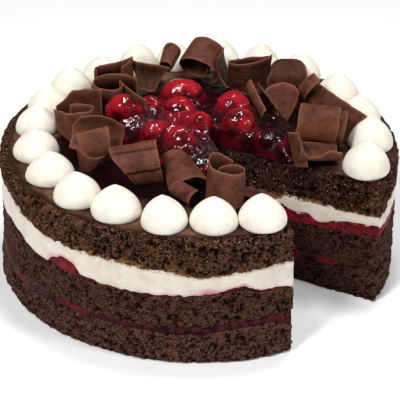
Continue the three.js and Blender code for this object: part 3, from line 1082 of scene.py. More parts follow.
    def lid(
        self, corners: Corners, edge: np.ndarray, cuts: list, phi: np.ndarray, radius: np.ndarray,
        surface: Callable,
    ) -> list:
        """Faces of the hidden upper or lower side: fine along the cuts, plain between them.

        Args:
            corners: hands out corner numbers.
            edge: corner numbers along the side.
            cuts: corner numbers along the two cuts, from the axis to the side.
            phi: angle of each corner of the edge.
            radius: radius of each corner of the edge.
            surface: gives the hidden side's height for angles and radii.

        Returns:
            The faces as they are seen from above.
        """
        spokes = len(cuts[0])
        faces, banks, rings = [], [], []
        for which, cut in enumerate(cuts):
            lines = [cut]
            for step in range(1, self.BANK + 1):
                column = len(edge) - 1 - step if which else step
                reach = np.linspace(0.0, 1.0, spokes)[1:-1] * radius[column]
                line = corners.hide(polar(phi[column], reach, surface(phi[column], reach)))
                lines.append(np.concatenate([cut[:1], line, edge[column:column + 1]]))
            bank = np.array(lines)
            tips = np.stack([bank[:-1, 0], bank[:-1, 1], bank[1:, 1]], axis=-1)
            for group in (flipped(quads(bank[:, 1:])), tips):
                faces += (group[:, ::-1] if which else group).tolist()
            banks.append(bank[-1])
        between = slice(self.BANK + 1, len(edge) - 1 - self.BANK)
        stops = [int(round(ring / CAKE_RADIUS * (spokes - 1))) for ring in self.rings]
        for stop in stops:
            reach = stop / (spokes - 1) * radius[between]
            ring = corners.hide(polar(phi[between], reach, surface(phi[between], reach)))
            rings.append(np.concatenate([banks[0][stop:stop + 1], ring, banks[1][stop:stop + 1]]))
        rings.append(edge[self.BANK:len(edge) - self.BANK])
        faces += [[cuts[0][0], a, b] for a, b in zip(rings[0][1:-2], rings[0][2:-1])]
        for inner, outer in zip(rings[:-1], rings[1:]):
            faces += flipped(quads(np.stack([inner, outer], axis=1)[1:-1])).tolist()
        for which, near in ((0, 1), (1, -2)):
            for k, (low, high) in enumerate(zip([0, *stops], [*stops, spokes - 1])):
                back = [rings[at][near] for at in (k, k - 1) if at >= 0]
                loop = [*banks[which][low:high + 1], *back]
                faces.append(loop[::-1] if which else loop)
        return faces


@dataclass
class Sponge(WedgeLayer):
    """A chocolate sponge with an open, uneven crumb.

    Fields: wet, how moist the crumb is; gap, how far it stays from its neighbours; fringe, how
    strong its tan edge is below and above, and fringe_reach, how far that goes; toasted, how far it
    is browned above its lower edge; cut_bulge, how far the far cut bows out. The names on NOISE are
    (size, channel) of the noises that vary the crumb.
    """

    wet: float = 0.3
    gap: float = 0.1
    fringe: tuple = (0.0, 0.0)
    fringe_reach: float = 1.2
    toasted: float = 0.0
    cut_bulge: float = 0.0

    SHOULDER = 4.2
    FOOT = 1.6
    EDGE = 0.5
    RIM_RISE = 0.8
    SWELL_SIZE = 26.0
    LUMP_SIZE = 3.2
    WARP_SIZE = 2.8
    WARP_REACH = 1.5
    PORE_SIZE = 3.6
    TEAR_SIZE = 1.7
    OPEN = (0.2, 0.5)
    PORE_NOISE = (1.5, 7)
    DEPTH_NOISE = (7.0, 5)
    MOIST_NOISE = (9.0, 3)
    TONGUE_NOISE = (11.0, 9)
    TOAST_NOISE = (8.0, 11)
    PALE_NOISE = (5.0, 12)
    SOAK_NOISE = (9.0, 13)
    RIM_BAND = (CAKE_RADIUS - 7.0, CAKE_RADIUS - 4.0)
    SOAK_BAND = (100.0, 108.0)
    BOW_TURN = 1.5
    BOW_FROM = (84.0, 92.0)
    BOW_TO = (105.0, 109.5)
    BOW_HEIGHT = (58.0, 67.0)
    LEAST_FRINGE = 0.15

    def floor(self, phi: Numbers, radius: Numbers) -> np.ndarray:
        """Height of the underside, flat where the sponge is the lowest."""
        flat = np.zeros(np.broadcast(phi, radius).shape)
        return flat if self.lower is None else self.lower.height(phi, radius) + self.gap

    def roof(self, phi: Numbers, radius: Numbers) -> np.ndarray:
        """Height of the upper side; the top sponge has a crumb shoulder round its glaze.

        Args:
            phi: angles of the places.
            radius: their distances from the axis.

        Returns:
            One height for each place.
        """
        if self.upper is not None:
            return self.upper.height(phi, radius) - self.gap
        shoulder = smooth(radius, *self.RIM_BAND) * self.RIM_RISE
        return np.zeros(np.broadcast(phi, radius).shape) + SPONGE_TOP + shoulder

    def skirt(self, phi: np.ndarray, share: np.ndarray) -> tuple:
        """The side's own outline, rounded at a free upper or lower edge.

        Args:
            phi: a column of angles.
            share: a row of shares of the side's height.

        Returns:
            Radius and height of each corner.
        """
        low = self.floor(phi, CAKE_RADIUS)
        high = self.roof(phi, CAKE_RADIUS)
        z = lerp(low, high, share)
        radius = side_radius(phi, z)
        if self.upper is None:
            bend = smooth(share, 0.78, 1.0)
            radius = radius - self.SHOULDER * bend**1.6
            z = lerp(low, high, np.minimum(1.0, share + 0.05 * np.sin(np.pi * bend)))
        else:
            radius = radius - self.EDGE * smooth(share, 0.94, 1.0)
        if self.lower is None:
            radius = radius - self.FOOT * falling(share, 0.0, 0.1) ** 2
        else:
            radius = radius - self.EDGE * falling(share, 0.0, 0.06)
        return radius, z

    def bow(self, points: np.ndarray) -> np.ndarray:
        """How far the far cut face bows out near its upper outer corner.

        Args:
            points: corners of the side or of a cut face.

        Returns:
            One distance for each point.
        """
        radius, phi = bearings(points)
        at_cut = falling(phi, SLICE_TO, SLICE_TO + self.BOW_TURN)
        across = smooth(radius, *self.BOW_FROM) * falling(radius, *self.BOW_TO)
        return self.cut_bulge * at_cut * across * smooth(points[:, 2], *self.BOW_HEIGHT)

    def relief(self, points: np.ndarray) -> tuple:
        """Crumb: swells, lumps and pores, their painted shade, and how moist, tan, browned and soaked it is.

        Args:
            points: corners of the side or of a cut face.

        Returns:
            Displacement outward, and the numbers that the finish reads, by name.
        """
        grain = Grain(self.seed)
        swell = grain.value(points, self.SWELL_SIZE) * self.wall_wave
        lumps = grain.layered(points, self.LUMP_SIZE, 3) * 0.65
        warp = [grain.layered(points + 33.0 * k, self.WARP_SIZE, 2) for k in range(3)]
        torn = points + self.WARP_REACH * np.stack(warp, axis=-1)
        pore = grain.cells(torn, self.PORE_SIZE) + 0.15 * grain.value(points, *self.PORE_NOISE)
        hole = falling(pore, *self.OPEN)
        tear = falling(grain.cells(torn + 40.0, self.TEAR_SIZE), *self.OPEN)
        deep = hole * smooth(grain.value(points, *self.DEPTH_NOISE), -0.6, 0.3)
        out = swell + lumps - 1.25 * deep - 0.5 * tear - 0.1 + self.bow(points)
        # Painted shade: this mark falls in deep holes and tears and rises on lumps.
        crumb = 1.0 - 0.95 * deep - 0.6 * tear + 0.25 * lumps
        moist = self.wet * (0.5 + 0.9 * smooth(grain.value(points, *self.MOIST_NOISE), -0.1, 0.6))
        below, above = self.distances(points)
        wave = 0.6 + 0.5 * grain.layered(points, 4.0, 2)
        tongue = smooth(grain.value(points, *self.TONGUE_NOISE), -0.5, 0.45)
        reach = self.fringe_reach * np.maximum(wave, self.LEAST_FRINGE) * (0.35 + 0.9 * tongue)
        fringe = self.fringe[0] * bell(np.maximum(below, 0.0), reach)
        upper_fringe = np.exp(-np.maximum(above, 0.0) / (0.8 * np.maximum(wave, self.LEAST_FRINGE)))
        fringe = np.maximum(fringe, self.fringe[1] * upper_fringe)
        toast = self.toasted * falling(below, 3.0, 9.0 + 4.0 * grain.value(points, *self.TOAST_NOISE))
        toast = toast * smooth(grain.value(points, *self.PALE_NOISE), -0.7, 0.5)
        radius, _ = bearings(points)
        soaked = falling(radius, *self.SOAK_BAND) * (0.75 + 0.35 * grain.value(points, *self.SOAK_NOISE))
        toast = toast * (1.0 - 0.8 * soaked)
        numbers = {"crumb": crumb, "moist": moist, "fringe": fringe, "toast": toast, "soaked": soaked}
        return out, {mark: np.clip(values, 0.0, 1.0) for mark, values in numbers.items()}


@dataclass
class Filling(WedgeLayer):
    """A layer of cherry filling that comes out to the side only in places.

    Fields: bulge, how far the middle of its side is proud of its edges; spread, how far it reaches
    into the crumb; lumps, their depth; bright_at, where it is crimson, as (phi, reach in degrees,
    amount); patches, where on the far cut it isn't covered with crumb, as (radius, reach).
    """

    lower: Meeting = LOWER_JAM_BOTTOM
    upper: Meeting = LOWER_JAM_TOP
    bulge: float = 0.7
    spread: float = 0.6
    lumps: float = 0.45
    bright_at: tuple = ()
    patches: tuple = ()

    def floor(self, phi: Numbers, radius: Numbers) -> np.ndarray:
        """Height of the underside, a little into the crumb below."""
        return self.lower.height(phi, radius) - self.spread

    def roof(self, phi: Numbers, radius: Numbers) -> np.ndarray:
        """Height of the upper side, a little into the crumb above."""
        return self.upper.height(phi, radius) + self.spread

    def skirt(self, phi: np.ndarray, share: np.ndarray) -> tuple:
        """Radius and height of the side, proud in the middle and sunk at its edges."""
        radius, z = super().skirt(phi, share)
        return radius + self.bulge * np.sin(np.pi * share) ** 0.7 - self.bulge, z

    def relief(self, points: np.ndarray) -> tuple:
        """Soft lumps, how bright the filling is, and where crumb covers it.

        Args:
            points: corners of the side or of a cut face.

        Returns:
            Displacement outward, and the numbers that the finish reads, by name.
        """
        grain = Grain(self.seed)
        out = grain.layered(points, 5.0, 3) * self.lumps - 0.25 * smooth(grain.value(points, 12.0), 0.1, 0.7)
        radius, phi = bearings(points)
        bright = np.zeros(len(points))
        for at, width, amount in self.bright_at:
            bright = np.maximum(bright, amount * bell(apart(phi, at), width))
        bright = bright * (0.55 + 0.75 * smooth(grain.value(points, 4.0, 4), -0.5, 0.5))
        soaked = np.zeros(len(points))
        if self.patches:
            shown = np.zeros(len(points))
            for at, width in self.patches:
                shown = np.maximum(shown, np.exp(-(((radius - at) / width) ** 4)))
            soaked = falling(phi, 95.0, 125.0) * (1.0 - shown)
            at_cut = falling(phi, SLICE_TO, SLICE_TO + 2.0)
            bright = np.maximum(bright * (1.0 - soaked), 0.85 * shown * at_cut)
            out = out - 0.8 * soaked
        return out, {"bright": np.clip(bright, 0.0, 1.0), "soaked": soaked}


@dataclass
class CreamLayer(WedgeLayer):
    """The whipped cream filling, stained pink along its lower edge in places.

    Fields: stains, where the juice shows, as (phi, reach in degrees, height, amount); spread, how
    far the cream reaches into the crumb.
    """

    lower: Meeting = CREAM_BOTTOM
    upper: Meeting = CREAM_TOP
    stains: tuple = ()
    spread: float = 0.45

    def floor(self, phi: Numbers, radius: Numbers) -> np.ndarray:
        """Height of the underside, a little into the layer below."""
        return self.lower.height(phi, radius) - self.spread

    def roof(self, phi: Numbers, radius: Numbers) -> np.ndarray:
        """Height of the upper side, a little into the crumb above."""
        return self.upper.height(phi, radius) + self.spread

    def relief(self, points: np.ndarray) -> tuple:
        """Soft waves, where the juice shows, and where crumbs stick to the upper edge.

        Args:
            points: corners of the side or of a cut face.

        Returns:
            Displacement outward, and the numbers that the finish reads, by name.
        """
        grain = Grain(self.seed)
        out = grain.layered(points, 7.0, 3) * 0.3
        radius, phi = bearings(points)
        above = points[:, 2] - self.lower.height(phi, radius)
        below = self.upper.height(phi, radius) - points[:, 2]
        stain = np.zeros(len(points))
        for at, width, height, amount in self.stains:
            reach = height * (0.8 + 0.4 * grain.value(points, 6.0, 2))
            spot = amount * bell(apart(phi, at), width) * falling(above, 0.0, reach)
            stain = np.maximum(stain, spot)
        crumbed = bell(np.maximum(below, 0.0), 1.0)
        out = out - 0.55 * crumbed - 0.2 * bell(np.maximum(above, 0.0), 0.8)
        return out, {"stain": np.clip(stain, 0.0, 1.0), "crumbed": crumbed}


@dataclass
class Glaze:
    """The thin glaze on the top sponge, with an uneven rim.

    RIM is its radius and STRAY_RIM how far that varies; PIN, the radius left open at the axis; SUNK
    and LIFT, how far its faces stay from their CAD heights; WAVE and BEAD, heights of its ripples
    and of the beads in BEAD_BAND; EDGE_BAND and EDGE_DROP, width and depth of its rounded edge;
    DARK_BAND, where its rim darkens; SYRUP, radii between which the dark inner ring ends, partly
    syrup stain and partly painted shade under the curls.
    """

    finish: bpy.types.Material
    name: str = "chocolate_glaze"
    node: str = "glaze"
    slot: str = "chocolate_glaze"
    seed: int = 21
    columns: int = 350
    rings: int = 46

    RIM = 105.4
    PIN = 0.4
    SUNK = 0.15
    LIFT = 0.05
    STRAY_RIM = 0.7
    WAVE = 0.22
    BEAD = 0.5
    BEAD_BAND = (4.5, 2.0)
    EDGE_BAND = 1.2
    EDGE_DROP = 0.35
    DARK_BAND = (3.6, 1.0)
    STRAY_SYRUP = 6.0
    SYRUP = (70.0, 84.0)

    def build(self) -> bpy.types.Object:
        """Makes the glaze's closed mesh and puts it in place of its node.

        Returns:
            The finished piece.
        """
        grain = Grain(self.seed)
        phi = np.linspace(SLICE_TO, TURN_END, self.columns)
        edge = self.RIM + self.STRAY_RIM * grain.layered(polar(phi, self.RIM, 0.0), 9.0, 3)
        rim_at = edge[:, None]
        reach = np.linspace(0.0, 1.0, self.rings) ** 0.75
        radius = lerp(self.PIN, rim_at, reach[None, :])
        top = polar(phi[:, None], radius, GLAZE_TOP)
        waves = grain.layered(top, 14.0, 3) * self.WAVE
        beads = grain.layered(top, 3.2, 2) * self.BEAD
        beads = beads * smooth(radius, rim_at - self.BEAD_BAND[0], rim_at - self.BEAD_BAND[1])
        fade = falling(radius, rim_at - self.EDGE_BAND, rim_at)
        drop = self.EDGE_DROP * (1.0 - fade) ** 2
        top[..., 2] = GLAZE_TOP - self.SUNK + (waves + beads) * fade - drop
        bottom = top.copy()
        bottom[..., 2] = SPONGE_TOP + self.LIFT
        points = np.concatenate([top.reshape(-1, 3), bottom.reshape(-1, 3)])
        faces = [face[::-1] for face in slab_faces(self.columns, self.rings)]
        rim = smooth(radius, rim_at - self.DARK_BAND[0], rim_at - self.DARK_BAND[1]).ravel()
        # The inner dark ring is partly syrup stain and partly painted shade under the curls.
        stray = grain.layered(top, 12.0, 3) * self.STRAY_SYRUP
        syrup = falling(radius + stray, *self.SYRUP).ravel()
        marks = {"rim": np.concatenate([rim, rim]), "syrup": np.concatenate([syrup, syrup])}
        piece = new_object(self.name, points, faces, self.finish, True, marks)
        return place(piece, self.slot, self.node)


# ------------------------------------------------------------------ dollops, cherries and gel


@dataclass
class Dollops:
    """The ring of piped cream dollops.

    Fields: count, how many; sides and rows, corners round a dollop and up it; swell, its width
    against the CAD node's. OUTLINE is its side, as shares of its radius and height, read at SAMPLES
    places and softened over BLUR of them; LEAN, TWIST, OVAL, FOLD and WOBBLE say how far a dollop
    strays from a round one.
    """

    finish: bpy.types.Material
    slot: str = "cream"
    count: int = 20
    sides: int = 56
    rows: int = 34
    seed: int = 31
    swell: float = 1.03

    OUTLINE = (
        (0.93, 0.0), (0.99, 0.04), (1.0, 0.11), (0.975, 0.24), (0.90, 0.38), (0.78, 0.52), (0.62, 0.66),
        (0.44, 0.785), (0.27, 0.88), (0.13, 0.95), (0.04, 0.99), (0.0, 1.0),
    )

    SAMPLES = 160
    BLUR = 7
    SUNK = 0.25
    LEAN = 0.9
    LEAN_POWER = 2.2
    TWIST = 1.6
    OVAL = 0.035
    FOLD = 0.012
    WOBBLE = 0.32

    def outline(self) -> np.ndarray:
        """The dollop's side, softened and evenly spaced.

        Returns:
            Shares of its radius and height, one row for each row of corners.
        """
        knots = np.array(self.OUTLINE)
        length = np.concatenate([[0.0], np.cumsum(np.linalg.norm(np.diff(knots, axis=0), axis=1))])
        even = np.linspace(0.0, length[-1], self.SAMPLES)
        path = np.stack([np.interp(even, length, knots[:, axis]) for axis in (0, 1)], axis=1)
        kernel = np.hanning(2 * self.BLUR + 1)
        kernel /= kernel.sum()
        soft = path.copy()
        for axis in (0, 1):
            soft[self.BLUR:-self.BLUR, axis] = np.convolve(path[:, axis], kernel, "valid")
        return soft[np.linspace(0, self.SAMPLES - 1, self.rows).astype(int)]

    def build_one(self, number: int) -> bpy.types.Object:
        """Makes one dollop and puts it in place of its node.

        Args:
            number: its number round the cake, from 1.

        Returns:
            The finished piece.
        """
        node = f"dollop_{number:02d}"
        low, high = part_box(node)
        centre = np.array([(low.x + high.x) / 2, (low.y + high.y) / 2, 0.0]) / MM
        radius = max(high.x - low.x, high.y - low.y) / 2 / MM * self.swell
        height = (high.z - low.z) / MM
        draw = np.random.default_rng(self.seed + number)
        lean = draw.uniform(-1.0, 1.0, 2) * self.LEAN
        twist = draw.uniform(0.0, 2.0 * math.pi)
        path = self.outline()
        angle = np.linspace(0.0, 2.0 * math.pi, self.sides, endpoint=False)
        grain = Grain(self.seed * 7 + number)
        reach, level = path[:, 0][None, :], path[:, 1][None, :]
        turn = angle[:, None] + twist + self.TWIST * level
        oval = 1.0 + draw.uniform(0.0, self.OVAL) * np.cos(2.0 * (angle[:, None] - twist))
        fold = 1.0 + self.FOLD * np.sin(3.0 * turn) * smooth(level, 0.15, 0.8)
        ring = radius * reach * oval * fold
        x = ring * np.cos(angle[:, None]) + lean[0] * level**self.LEAN_POWER
        y = ring * np.sin(angle[:, None]) + lean[1] * level**self.LEAN_POWER
        z = height * level + 0.0 * ring
        points = np.stack([x, y, z], axis=-1)
        wobble = grain.layered(points + 50.0, 9.0, 2) * self.WOBBLE
        points[..., :2] *= 1.0 + (wobble * (1.0 - level**3) / radius)[..., None]
        points = points + centre
        points[..., 2] += REST_Z - self.SUNK
        tip = points[:, -1].mean(axis=0)
        body = points[:, :-1].reshape(-1, 3)
        grid = tube(self.sides, self.rows - 1)
        last = len(body)
        faces = quads(grid).tolist()
        faces += [[int(a), int(b), last] for a, b in zip(grid[:-1, -1], grid[1:, -1])]
        faces.append(grid[-2::-1, 0].tolist())
        marks = {"stain": np.zeros(last + 1), "crumbed": np.zeros(last + 1)}
        piece = new_object(f"cream_{node}", np.vstack([body, tip]), faces, self.finish, True, marks)
        return place(piece, self.slot, node)

    def build(self) -> None:
        """Makes every dollop."""
        for number in range(1, self.count + 1):
            self.build_one(number)


@dataclass
class Cherries:
    """The preserved cherries; those numbered in sunk lie under the gel and share its finish.

    BALL is the radius at which the noises are read, SWELL a cherry's size against the CAD node's,
    and DENT and PIT say how far its skin strays from that.
    """

    finish: bpy.types.Material
    sunk_finish: bpy.types.Material
    sunk: tuple = (10,)
    slot: str = "cherry"
    count: int = 10
    sides: int = 56
    rows: int = 34
    seed: int = 51

    BALL = 10.0
    SWELL = 1.02
    DENT = 0.07
    PIT = 0.035

    def build_one(self, number: int) -> bpy.types.Object:
        """Makes one cherry and puts it in place of its node.

        Args:
            number: its number, from 1.

        Returns:
            The finished piece.
        """
        node = f"cherry_{number:02d}"
        centre, half = box_of(node)
        grain = Grain(self.seed + number)
        angle = np.linspace(0.0, 2.0 * math.pi, self.sides, endpoint=False)[:, None]
        tilt = np.linspace(0.0, math.pi, self.rows)[None, 1:-1]
        way = np.stack(
            [np.sin(tilt) * np.cos(angle), np.sin(tilt) * np.sin(angle), np.cos(tilt) + 0.0 * angle],
            axis=-1,
        )
        poles = np.array([[0.0, 0.0, 1.0], [0.0, 0.0, -1.0]])
        flat = np.concatenate([way.reshape(-1, 3), poles])
        ball = flat * self.BALL
        size = self.SWELL + self.DENT * grain.value(ball, 9.0) + self.PIT * grain.layered(ball, 4.0, 3)
        points = centre + flat * half * size[:, None]
        grid = tube(self.sides, self.rows - 2)
        top, bottom = len(flat) - 2, len(flat) - 1
        faces = flipped(quads(grid)).tolist()
        faces += [[top, int(a), int(b)] for a, b in zip(grid[:-1, 0], grid[1:, 0])]
        faces += [[bottom, int(b), int(a)] for a, b in zip(grid[:-1, -1], grid[1:, -1])]
        finish = self.sunk_finish if number in self.sunk else self.finish
        # Redder towards the top, darker towards the bottom.
        redder_top = smooth(flat[:, 2] + 0.3 * grain.layered(ball, 9.0, 2), -0.35, 0.7)
        zero = np.zeros(len(points))
        marks = {"redder_top": redder_top, "thin": zero + 0.05, "cloud": zero, "wet": zero + 1.0}
        piece = new_object(f"glazed_{node}", points, faces, finish, True, marks)
        return place(piece, self.slot, node)

    def build(self) -> None:
        """Makes every cherry."""
        for number in range(1, self.count + 1):
            self.build_one(number)


@dataclass
class Gel:
    """The mound of dark gel that the cherries are set in.

    Fields: depth of the plain mound. PIN is the radius left open at the axis; RUN, how far the gel
    runs down the cut; DRIP, the cross section of that, as shares of the run and distances from the
    cut; PAINTED_HAZE_SPOTS, where painted reflection haze lies on it, as (x, y, reach); HEAPS, where it is
    piled up, as (x, y, reach, rise); CLIMB, its rise at a cherry, the reach of that, and its limit and
    softness where several meet; THIN, how far red shows round a cherry; ROUNDING, how soon the mound
    rises from its edge; FREE_EDGE, where the edge keeps free of heaps; HEAPED and SKIN, depths of gel
    over which red shows; DRY, where behind the cherries it loses its shine; OUTLINE, its edge, as
    (phi, radius).
    """

    finish: bpy.types.Material
    name: str = "cherry_gel_mound"
    node: str = "cherry_gel"
    slot: str = "cherry_gel"
    seed: int = 71
    columns: int = 260
    rings: int = 76
    depth: float = 6.2

    CHERRIES = 10
    PIN = 0.4
    RUN = 5.0
    DRIP = ((1.0, 0.35), (0.9, 0.9), (0.55, 1.25), (0.15, 1.1), (-0.4, 0.6))
    INSIDE = 0.12
    SOLE = 0.3
    CLIMB = (6.8, 3.8, 7.8, 6.6)
    THIN = 2.0
    STRAY_EDGE = 1.3
    ROUNDING = 4.5
    FREE_EDGE = (0.0, 6.0)
    HEAPED = 2.2
    SKIN = (0.6, 3.0)
    DRY = (16.0, 36.0)
    PAINTED_HAZE_SPOTS = ((-27.0, 4.0, 9.0), (6.0, -24.0, 8.0))
    HEAPS = ((-10.0, 4.0, 15.0, 2.6), (-16.0, -13.0, 9.0, 2.6), (21.0, 8.0, 9.0, 2.4))
    OUTLINE = (
        (61, 58), (69, 58), (85, 56), (104, 54), (130, 54), (149, 58), (172, 65), (186, 74), (197, 69),
        (210, 60), (223, 64), (241, 60), (259, 52), (275, 40), (302, 33), (327, 36), (346, 40),
        (373, 38), (386, 34),
    )

    def drips(self, top: np.ndarray, grain: Grain) -> tuple:
        """The gel that has run over the edge of the cut face.

        Args:
            top: the gel's upper corners, whose first column lies along the cut.
            grain: noise that makes the drips uneven.

        Returns:
            Outer and inner corners of the columns to put before the first.
        """
        first = top[0]
        reach = np.hypot(first[:, 0], first[:, 1])
        away = -onward(SLICE_TO)
        wave = 0.55 + 0.5 * grain.layered(first + 30.0, 7.0, 3)
        run = self.RUN * np.clip(wave, 0.12, 1.3) * smooth(reach, 2.0, 12.0)
        run = run * falling(reach, 48.0, 57.0) + 0.1
        over, under = [], []
        for share, out in self.DRIP:
            over.append(first + away * out)
            under.append(first + away * self.INSIDE)
            over[-1][:, 2] = REST_Z - run * share if share > 0.0 else lerp(REST_Z, first[:, 2], 0.75)
            under[-1][:, 2] = REST_Z - self.SOLE - run * max(share, 0.0)
        return np.array(over), np.array(under)

    def build(self) -> bpy.types.Object:
        """Makes the gel's closed mesh and puts it in place of its node.

        Returns:
            The finished piece.
        """
        grain = Grain(self.seed)
        phi = np.linspace(SLICE_TO, TURN_END, self.columns)
        edge = Meeting(0.0, 0.0, self.OUTLINE).line(phi)
        edge = edge + self.STRAY_EDGE * grain.layered(polar(phi, edge, 0.0), 8.0, 3)
        reach = np.linspace(0.0, 1.0, self.rings)
        radius = lerp(self.PIN, edge[:, None], reach[None, :])
        top = polar(phi[:, None], radius, REST_Z)
        inward = edge[:, None] - radius
        mound = self.depth * (1.0 - np.exp(-inward / self.ROUNDING)) ** 0.8
        mound = mound * (0.86 + 0.24 * grain.layered(top, 11.0, 3))
        for x, y, size, rise in self.HEAPS:
            gap = np.hypot(top[..., 0] - x, top[..., 1] - y) / size
            mound = mound + rise * np.exp(-(gap**3)) * smooth(inward, *self.FREE_EDGE)
        rise, rise_reach, limit, softness = self.CLIMB
        climb = np.zeros_like(mound)
        close = np.zeros_like(mound)
        for number in range(1, self.CHERRIES + 1):
            centre, half = box_of(f"cherry_{number:02d}")
            away = np.hypot((top[..., 0] - centre[0]) / half[0], (top[..., 1] - centre[1]) / half[1])
            past = np.maximum(away - 0.9, 0.0) * half[0]
            climb = climb + rise * bell(past, rise_reach) * smooth(inward, *self.FREE_EDGE)
            close = np.maximum(close, np.exp(-past / self.THIN))
        climb = limit * (1.0 - np.exp(-climb / softness))
        top[..., 2] = REST_Z - REST_GAP + np.maximum(mound, 0.0) + climb
        bottom = top.copy()
        bottom[..., 2] = REST_Z - self.SOLE
        heaped = smooth(mound, self.depth, self.depth + self.HEAPED) * 0.8
        skin = 0.7 - smooth(mound + climb, *self.SKIN)
        thin = np.maximum(np.maximum(skin, 0.95 * close), heaped)
        # Painted reflection haze round the listed spots.
        painted_haze = np.zeros_like(mound)
        for x, y, size in self.PAINTED_HAZE_SPOTS:
            painted_haze = np.maximum(painted_haze, np.exp(-((top[..., 0] - x) ** 2 + (top[..., 1] - y) ** 2) / size**2))
        over, under = self.drips(top, grain)
        top = np.concatenate([over, top])
        bottom = np.concatenate([under, bottom])
        thin = np.concatenate([np.repeat(thin[:1] * 0.3, len(over), axis=0), thin])
        painted_haze = np.concatenate([np.zeros_like(thin[:len(over)]), painted_haze])
        points = np.concatenate([top.reshape(-1, 3), bottom.reshape(-1, 3)])
        wet = lerp(1.0, 0.1, smooth(top[..., 1], *self.DRY))
        found = {"wet": wet, "thin": thin, "cloud": painted_haze}
        marks = {mark: np.concatenate([values.ravel()] * 2) for mark, values in found.items()}
        faces = [face[::-1] for face in slab_faces(self.columns + len(over), self.rings)]
        piece = new_object(self.name, points, faces, self.finish, True, marks)
        return place(piece, self.slot, self.node)


# ------------------------------------------------------------------ chocolate curls


@dataclass(frozen=True)
class Roll:
    """A strip of chocolate rolled about an axis.

    Fields: at, a point of the axis level with the middle of the strip; axis, its azimuth from +X
    and its elevation; radius, at the start and the end of the roll; turn, the angle where the roll
    starts and how far it goes; width of the strip; flare, how much wider the roll is at the axis's
    far end; taper, the strip's width at its start and end; lead, how far the strip creeps along the
    axis; oval, flattening; tighten, how early it tightens; near, far, start and end, how far each
    edge stands beyond the plain strip, as knots (share of the edge, mm); steps, where the shaving
    drops to the layer under it, with painted shade at the foot, as (share of the roll, mm); warm,
    where a painted glow stands for light coming through the thin strip, and bloom, where it is
    dusted, as (share of the roll, share of the width, reach in mm, amount); gloom, how much painted
    shade darkens the strip on its outer and inner face.
    """

    at: tuple
    axis: tuple
    radius: tuple
    turn: tuple
    width: float
    flare: float = 0.0
    taper: tuple = (1.0, 1.0)
    lead: float = 0.0
    oval: float = 1.0
    tighten: float = 1.0
    near: tuple = ()
    far: tuple = ()
    start: tuple = ()
    end: tuple = ()
    steps: tuple = ()
    warm: tuple = ()
    bloom: tuple = ()
    painted_face_shade: tuple = (0.0, 0.0)
    thick: float = 1.0

    @staticmethod
    def beyond(knots: tuple, share: np.ndarray) -> np.ndarray:
        """How far an edge stands out, with its knots softened.

        Args:
            knots: (share of the edge, mm) from its start to its end.
            share: where it is wanted.

        Returns:
            One distance for each share.
        """
        if not knots:
            return np.zeros_like(share)
        places, reach = np.array(knots, float).T
        even = np.linspace(0.0, 1.0, 101)
        line = np.pad(np.interp(even, places, reach), 8, mode="edge")
        kernel = np.hanning(19)[1:-1]
        return np.interp(share, even, np.convolve(line, kernel / kernel.sum(), "valid"))

    def drop(self, u: np.ndarray) -> np.ndarray:
        """How far the surface has stepped down at shares of the roll."""
        return sum((depth * (u > at) for at, depth in self.steps), np.zeros_like(u))

    def crease(self, u: np.ndarray) -> np.ndarray:
        """How near places on the strip are to the foot of a step."""
        past = np.array([(u - at) * self.length() for at, _ in self.steps] or [np.full_like(u, 9.0)])
        return bell(past - 0.45, 0.5).max(axis=0)

    def patch(self, spots: tuple, u: np.ndarray, v: np.ndarray) -> np.ndarray:
        """How strong the nearest of some round patches is at places on the strip.

        Args:
            spots: (share of the roll, share of the width, reach in mm, amount) of each.
            u: shares of the roll.
            v: shares of the width.

        Returns:
            One number for each place.
        """
        total = np.zeros_like(u)
        for at, across, reach, amount in spots:
            gap = ((u - at) * self.length()) ** 2 + ((v - across) * self.width) ** 2
            total = np.maximum(total, amount * np.exp(-gap / reach**2))
        return total

    def length(self) -> float:
        """Length of the strip along its roll."""
        return math.radians(abs(self.turn[1])) * (self.radius[0] + self.radius[1]) / 2.0

    def axis_points(self, u: np.ndarray, v: np.ndarray) -> np.ndarray:
        """Points of the axis level with places on the strip.

        Args:
            u: shares of the roll.
            v: shares of the width.

        Returns:
            One point for each place.
        """
        azimuth, elevation = np.radians(self.axis)
        along = np.array([
            math.cos(elevation) * math.cos(azimuth), math.cos(elevation) * math.sin(azimuth),
            math.sin(elevation)])
        across = self.width * lerp(self.taper[0], self.taper[1], u) * (v - 0.5) + self.lead * (u - 0.5)
        return np.array(self.at) + across[..., None] * along

    def surface(self, u: np.ndarray, v: np.ndarray) -> np.ndarray:
        """Points of the strip's middle surface.

        Args:
            u: shares of the roll.
            v: shares of the width.

        Returns:
            One point for each place.
        """
        azimuth, elevation = np.radians(self.axis)
        up = np.array([
            -math.sin(elevation) * math.cos(azimuth), -math.sin(elevation) * math.sin(azimuth),
            math.cos(elevation)])
        side = np.array([math.sin(azimuth), -math.cos(azimuth), 0.0])
        angle = np.radians(self.turn[0] + self.turn[1] * u)
        shrink = np.maximum(0.0, 1.0 - u) ** self.tighten
        reach = lerp(self.radius[1], self.radius[0], shrink) * (1.0 + self.flare * (v - 0.5))
        return (
            self.axis_points(u, v)
            + (reach * self.oval * np.cos(angle))[..., None] * up
            + (reach * np.sin(angle))[..., None] * side
        )


